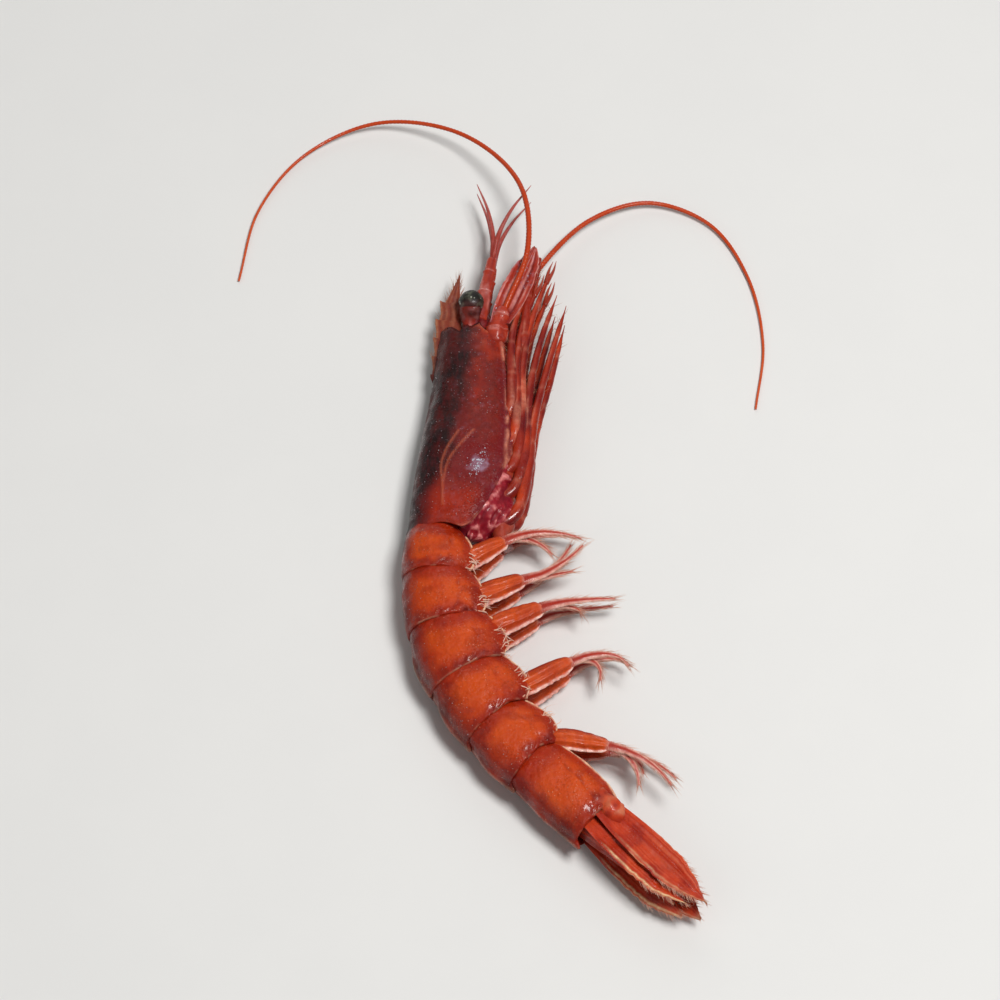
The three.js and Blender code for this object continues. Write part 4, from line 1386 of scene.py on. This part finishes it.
def lobe_curls(side):
    """Short pale curls of skin, and bristles, at the rear corners of the side lobes."""
    shape = Shape()
    up = np.array((0, 0, side))
    for index in range(5):
        s = PLATE_ENDS[index]
        along = at(s + 1, 10, 0) - at(s, 10, 0)
        down = at(s, 11, 0) - at(s, 10, 0)
        for _ in range(HAIR_COUNTS["lobe"]):
            place = random.uniform(0.55, 0.98), side * LOBE_TIP * random.uniform(0.9, 1.03)
            root = plate_skin(index, np.array(place[0]), np.array(place[1]))
            out = down + along * random.normal(0.1, 0.7) + up * random.normal(-0.1, 0.25)
            out /= np.linalg.norm(out)
            if random.random() < 0.5:
                add_hair(shape, root, out, random.uniform(1.2, 3.2), random.normal(0, 0.5, 3), 0.06)
            else:
                curl = along * random.normal(0, 0.8) + up * random.uniform(-0.6, 0.3)
                add_curl(shape, root, out * random.uniform(1.0, 2.2), curl)
    return shape


def add_curl(shape, root, reach, curl):
    """A flat curled strip of skin, which bends away towards its tip."""
    points = [
        root - 0.3 * reach, root + 0.5 * reach, root + 0.85 * reach + 0.4 * curl, root + reach + curl
    ]
    grid, t, _ = limb_grid(points, lambda t: 0.16 * (1.05 - t) ** 0.8, 0.5, 14, 8)
    shape.add_skin(grid, rim=t)


def frost_grains():
    """Tiny crystals of ice, mostly on the dark part of the carapace."""
    shape = Shape()
    local_t, local_a = rings(4, 5)
    turn = math.pi * np.clip(local_t, 0.02, 0.98)
    away = np.sin(turn)
    ball = np.stack([away * np.cos(local_a), away * np.sin(local_a), np.cos(turn)], axis=-1)
    places = carapace_skin(random.uniform(0.03, 0.95, 420), random.uniform(0.1, 1.9, 420))[0]
    patch = carapace_skin(random.normal(0.715, 0.03, 110), random.normal(1.74, 0.07, 110))[0]
    kept = places[noise(places, 9, 26) + random.normal(0, 0.5, len(places)) > 0.1]
    for index in range(5):
        on_plate = plate_skin(index, random.uniform(0.4, 0.97, 24), random.uniform(0.1, 1.0, 24))
        kept = np.concatenate([kept, on_plate])
    for bright, group, largest in ((0, kept, 0.12), (1, patch, 0.2)):
        for place in group:
            size = random.uniform(0.4, 1) ** 2 * largest * random.uniform(0.7, 1.3, 3)
            shape.add_skin(place + ball * size, rim=bright)
    return shape


# ---- the prawn, put together ----------------------------------------------------------------

SHELL_RED = palette()
# The tail's groove tone is darker red, painted shade in the plates' creases and hinge dimples.
TAIL_RED = palette(
    base=(170, 40, 8), glow=(200, 72, 12), wine=(122, 20, 8), stain=(64, 14, 8),
    groove=(130, 22, 10), rim=(238, 190, 156), haze=(178, 96, 72), frost=(224, 168, 142),
)
# The flap's darkest tone is painted shade in its folds, and its pale rim tone a painted highlight on
# their crests.
FLAP_WINE = palette(
    base=(158, 30, 34), wine=(134, 18, 40), stain=(60, 10, 16), rim=(236, 148, 144)
)
BEAK_BROWN = palette(
    base=(108, 42, 28), glow=(148, 64, 38), stain=(48, 24, 24), rim=(196, 136, 100)
)
HEAD_LIMB_RED = palette(
    base=(148, 34, 22), glow=(184, 62, 36), wine=(104, 16, 22), rim=(224, 158, 150)
)
LIMB_RED = palette(
    base=(156, 32, 14), glow=(196, 64, 24), wine=(98, 12, 16), rim=(226, 144, 116)
)
STEM_RED = palette(
    base=(182, 54, 20), glow=(204, 80, 26), wine=(124, 22, 16), rim=(240, 196, 184)
)
FAN_RED = palette(
    base=(172, 42, 16), glow=(200, 68, 30), wine=(130, 20, 14), groove=(206, 102, 66),
    rim=(240, 204, 156),
)
FEELER_ORANGE = palette(
    base=(176, 54, 14), glow=(200, 72, 20), wine=(150, 34, 14), rim=(216, 124, 76)
)
LASH_PINK = palette(
    base=(170, 50, 34), glow=(186, 60, 34), wine=(132, 22, 22), rim=(240, 194, 178)
)


def make_body():
    head = shell_material(
        "head_shell", SHELL_RED, frost=0.28, freckle=0.4, flecks=0.25, bump=0.5, glaze=0.3
    )
    flap = shell_material("flap_skin", FLAP_WINE, frost=0.2, freckle=0.1, bump=0.4)
    tail = shell_material(
        "tail_shell", TAIL_RED, frost=0.14, freckle=0.22, veins=0.1, flecks=0.55, bump=0.8,
        glaze=0.32,
    )
    fan = shell_material(
        "fan_shell", FAN_RED, frost=0.1, freckle=0.2, veins=0.15, bump=0.5, glaze=0.25, roughest=0.6
    )
    beak = shell_material("beak_shell", BEAK_BROWN, frost=0.2, bump=0.4)
    piece("carapace", carapace(), head)
    piece("gill_flap", gill_flap(), flap)
    piece("rostrum", rostrum(), beak)
    for index in range(len(PLATES)):
        piece(f"tail_plate_{index + 1}", plate(index), tail)
    piece("telson", telson(), fan)
    for name, side in SIDES.items():
        for place, blade in BLADES.items():
            piece(f"{place}_blade_{name}", fan_blade(blade, side), fan)
        piece(f"blade_root_{name}", blade_root(side), fan)


def make_head():
    limb = shell_material(
        "head_limb_shell", HEAD_LIMB_RED, frost=0.4, freckle=0.2, bump=0.45, roughest=0.6
    )
    flesh = shell_material("head_flesh", SHELL_RED, frost=0.3)
    cornea = cornea_material()
    whip = shell_material("feeler_shell", FEELER_ORANGE, frost=0.0, freckle=0.0, bump=0.15)
    piece("head_core", head_core(), flesh)
    for name, side in SIDES.items():
        piece(f"eye_{name}", eyeball(side), cornea)
        piece(f"eye_stalk_{name}", eye_stalk(side), limb)
        piece(f"antennule_{name}", antennule(side), limb)
        piece(f"antenna_foot_{name}", antenna_foot(side), limb)
        piece(f"antenna_scale_{name}", antenna_scale(side), limb)
        piece(f"feeler_{name}", feeler(name), whip)


def make_legs():
    limb = shell_material("leg_shell", LIMB_RED, frost=0.1, freckle=0.2, glaze=0.5)
    stem = shell_material(
        "stem_shell", STEM_RED, frost=0.15, freckle=0.2, bump=0.6, glaze=0.2, roughest=0.6
    )
    lash = shell_material("lash_shell", LASH_PINK, frost=0.0, freckle=0.0)
    piece("leg_roots", leg_roots(), limb)
    for name, side in SIDES.items():
        piece(f"mouth_leg_{name}", mouth_leg(side), limb)
        for index in range(5):
            piece(f"walking_leg_{name}_{index + 1}", walking_leg(index, side), limb)
            piece(f"swimmeret_{name}_{index + 1}", swimmeret_stem(index, side), stem)
            piece(f"lashes_{name}_{index + 1}", swimmeret_lashes(index, side), lash)


def make_hair():
    swimming = hair_material("swimming_hair", srgb(186, 104, 82), srgb(232, 196, 172))
    stiff = hair_material("stiff_hair", srgb(206, 140, 112), srgb(238, 212, 194))
    dark = hair_material("dark_hair", srgb(120, 54, 36), srgb(196, 140, 104))
    piece("rostrum_bristles", rostrum_bristles(), dark)
    for name, side in SIDES.items():
        piece(f"lash_fringe_{name}", lash_fringe(side), swimming)
        piece(f"lobe_curls_{name}", lobe_curls(side), stiff)
        piece(f"fan_fringe_{name}", fan_fringe(side), swimming)
        piece(f"leg_hair_{name}", leg_hair(side), dark)
    piece("frost_grains", frost_grains(), ice_material())


# ---- studio ---------------------------------------------------------------------------------

VIEW_ELEVATION = math.radians(62)
VIEW_DISTANCE = 1.0  # metres, as far as the photograph was taken from
LENS = 170
VIEW_CENTRE = Vector((0.0, 0.0, 0.005))
FLOOR_HALF = 3.0
SKY_STRENGTH = 0.16


def make_floor():
    mesh = bpy.data.meshes.new("studio_floor")
    signs = ((-1, -1), (1, -1), (1, 1), (-1, 1))
    mesh.from_pydata([(FLOOR_HALF * x, FLOOR_HALF * y, 0) for x, y in signs], [], [(0, 1, 2, 3)])
    mesh.materials.append(floor_material())
    floor = bpy.data.objects.new("studio_floor", mesh)
    bpy.context.collection.objects.link(floor)


def make_light(name, place, size, watts):
    """A square soft light that faces the prawn."""
    data = bpy.data.lights.new(name, "AREA")
    data.size = size
    data.energy = watts
    light = bpy.data.objects.new(name, data)
    light.location = place
    light.rotation_euler = (VIEW_CENTRE - Vector(place)).to_track_quat("-Z", "Y").to_euler()
    bpy.context.collection.objects.link(light)


def make_studio():
    make_floor()
    make_light("key_light", (0.3, -0.12, 0.95), 0.3, 8.8)
    make_light("fill_light", (-0.8, -0.5, 0.7), 0.9, 1.3)
    make_light("back_light", (-0.1, 0.9, 0.6), 1.0, 2.0)
    world = bpy.data.worlds.new("studio")
    world.use_nodes = True
    background = world.node_tree.nodes["Background"].inputs
    background["Color"].default_value = (1, 1, 1, 1)
    background["Strength"].default_value = SKY_STRENGTH
    bpy.context.scene.world = world
    bpy.context.scene.view_settings.view_transform = "Standard"


def make_camera():
    data = bpy.data.cameras.new("camera")
    data.lens = LENS
    camera = bpy.data.objects.new("camera", data)
    back = Vector((0, -math.cos(VIEW_ELEVATION), math.sin(VIEW_ELEVATION)))
    camera.location = VIEW_CENTRE + VIEW_DISTANCE * back
    camera.rotation_euler = (-back).to_track_quat("-Z", "Y").to_euler()
    bpy.context.collection.objects.link(camera)
    bpy.context.scene.camera = camera


make_camera()
make_studio()
make_body()
make_head()
make_legs()
make_hair()
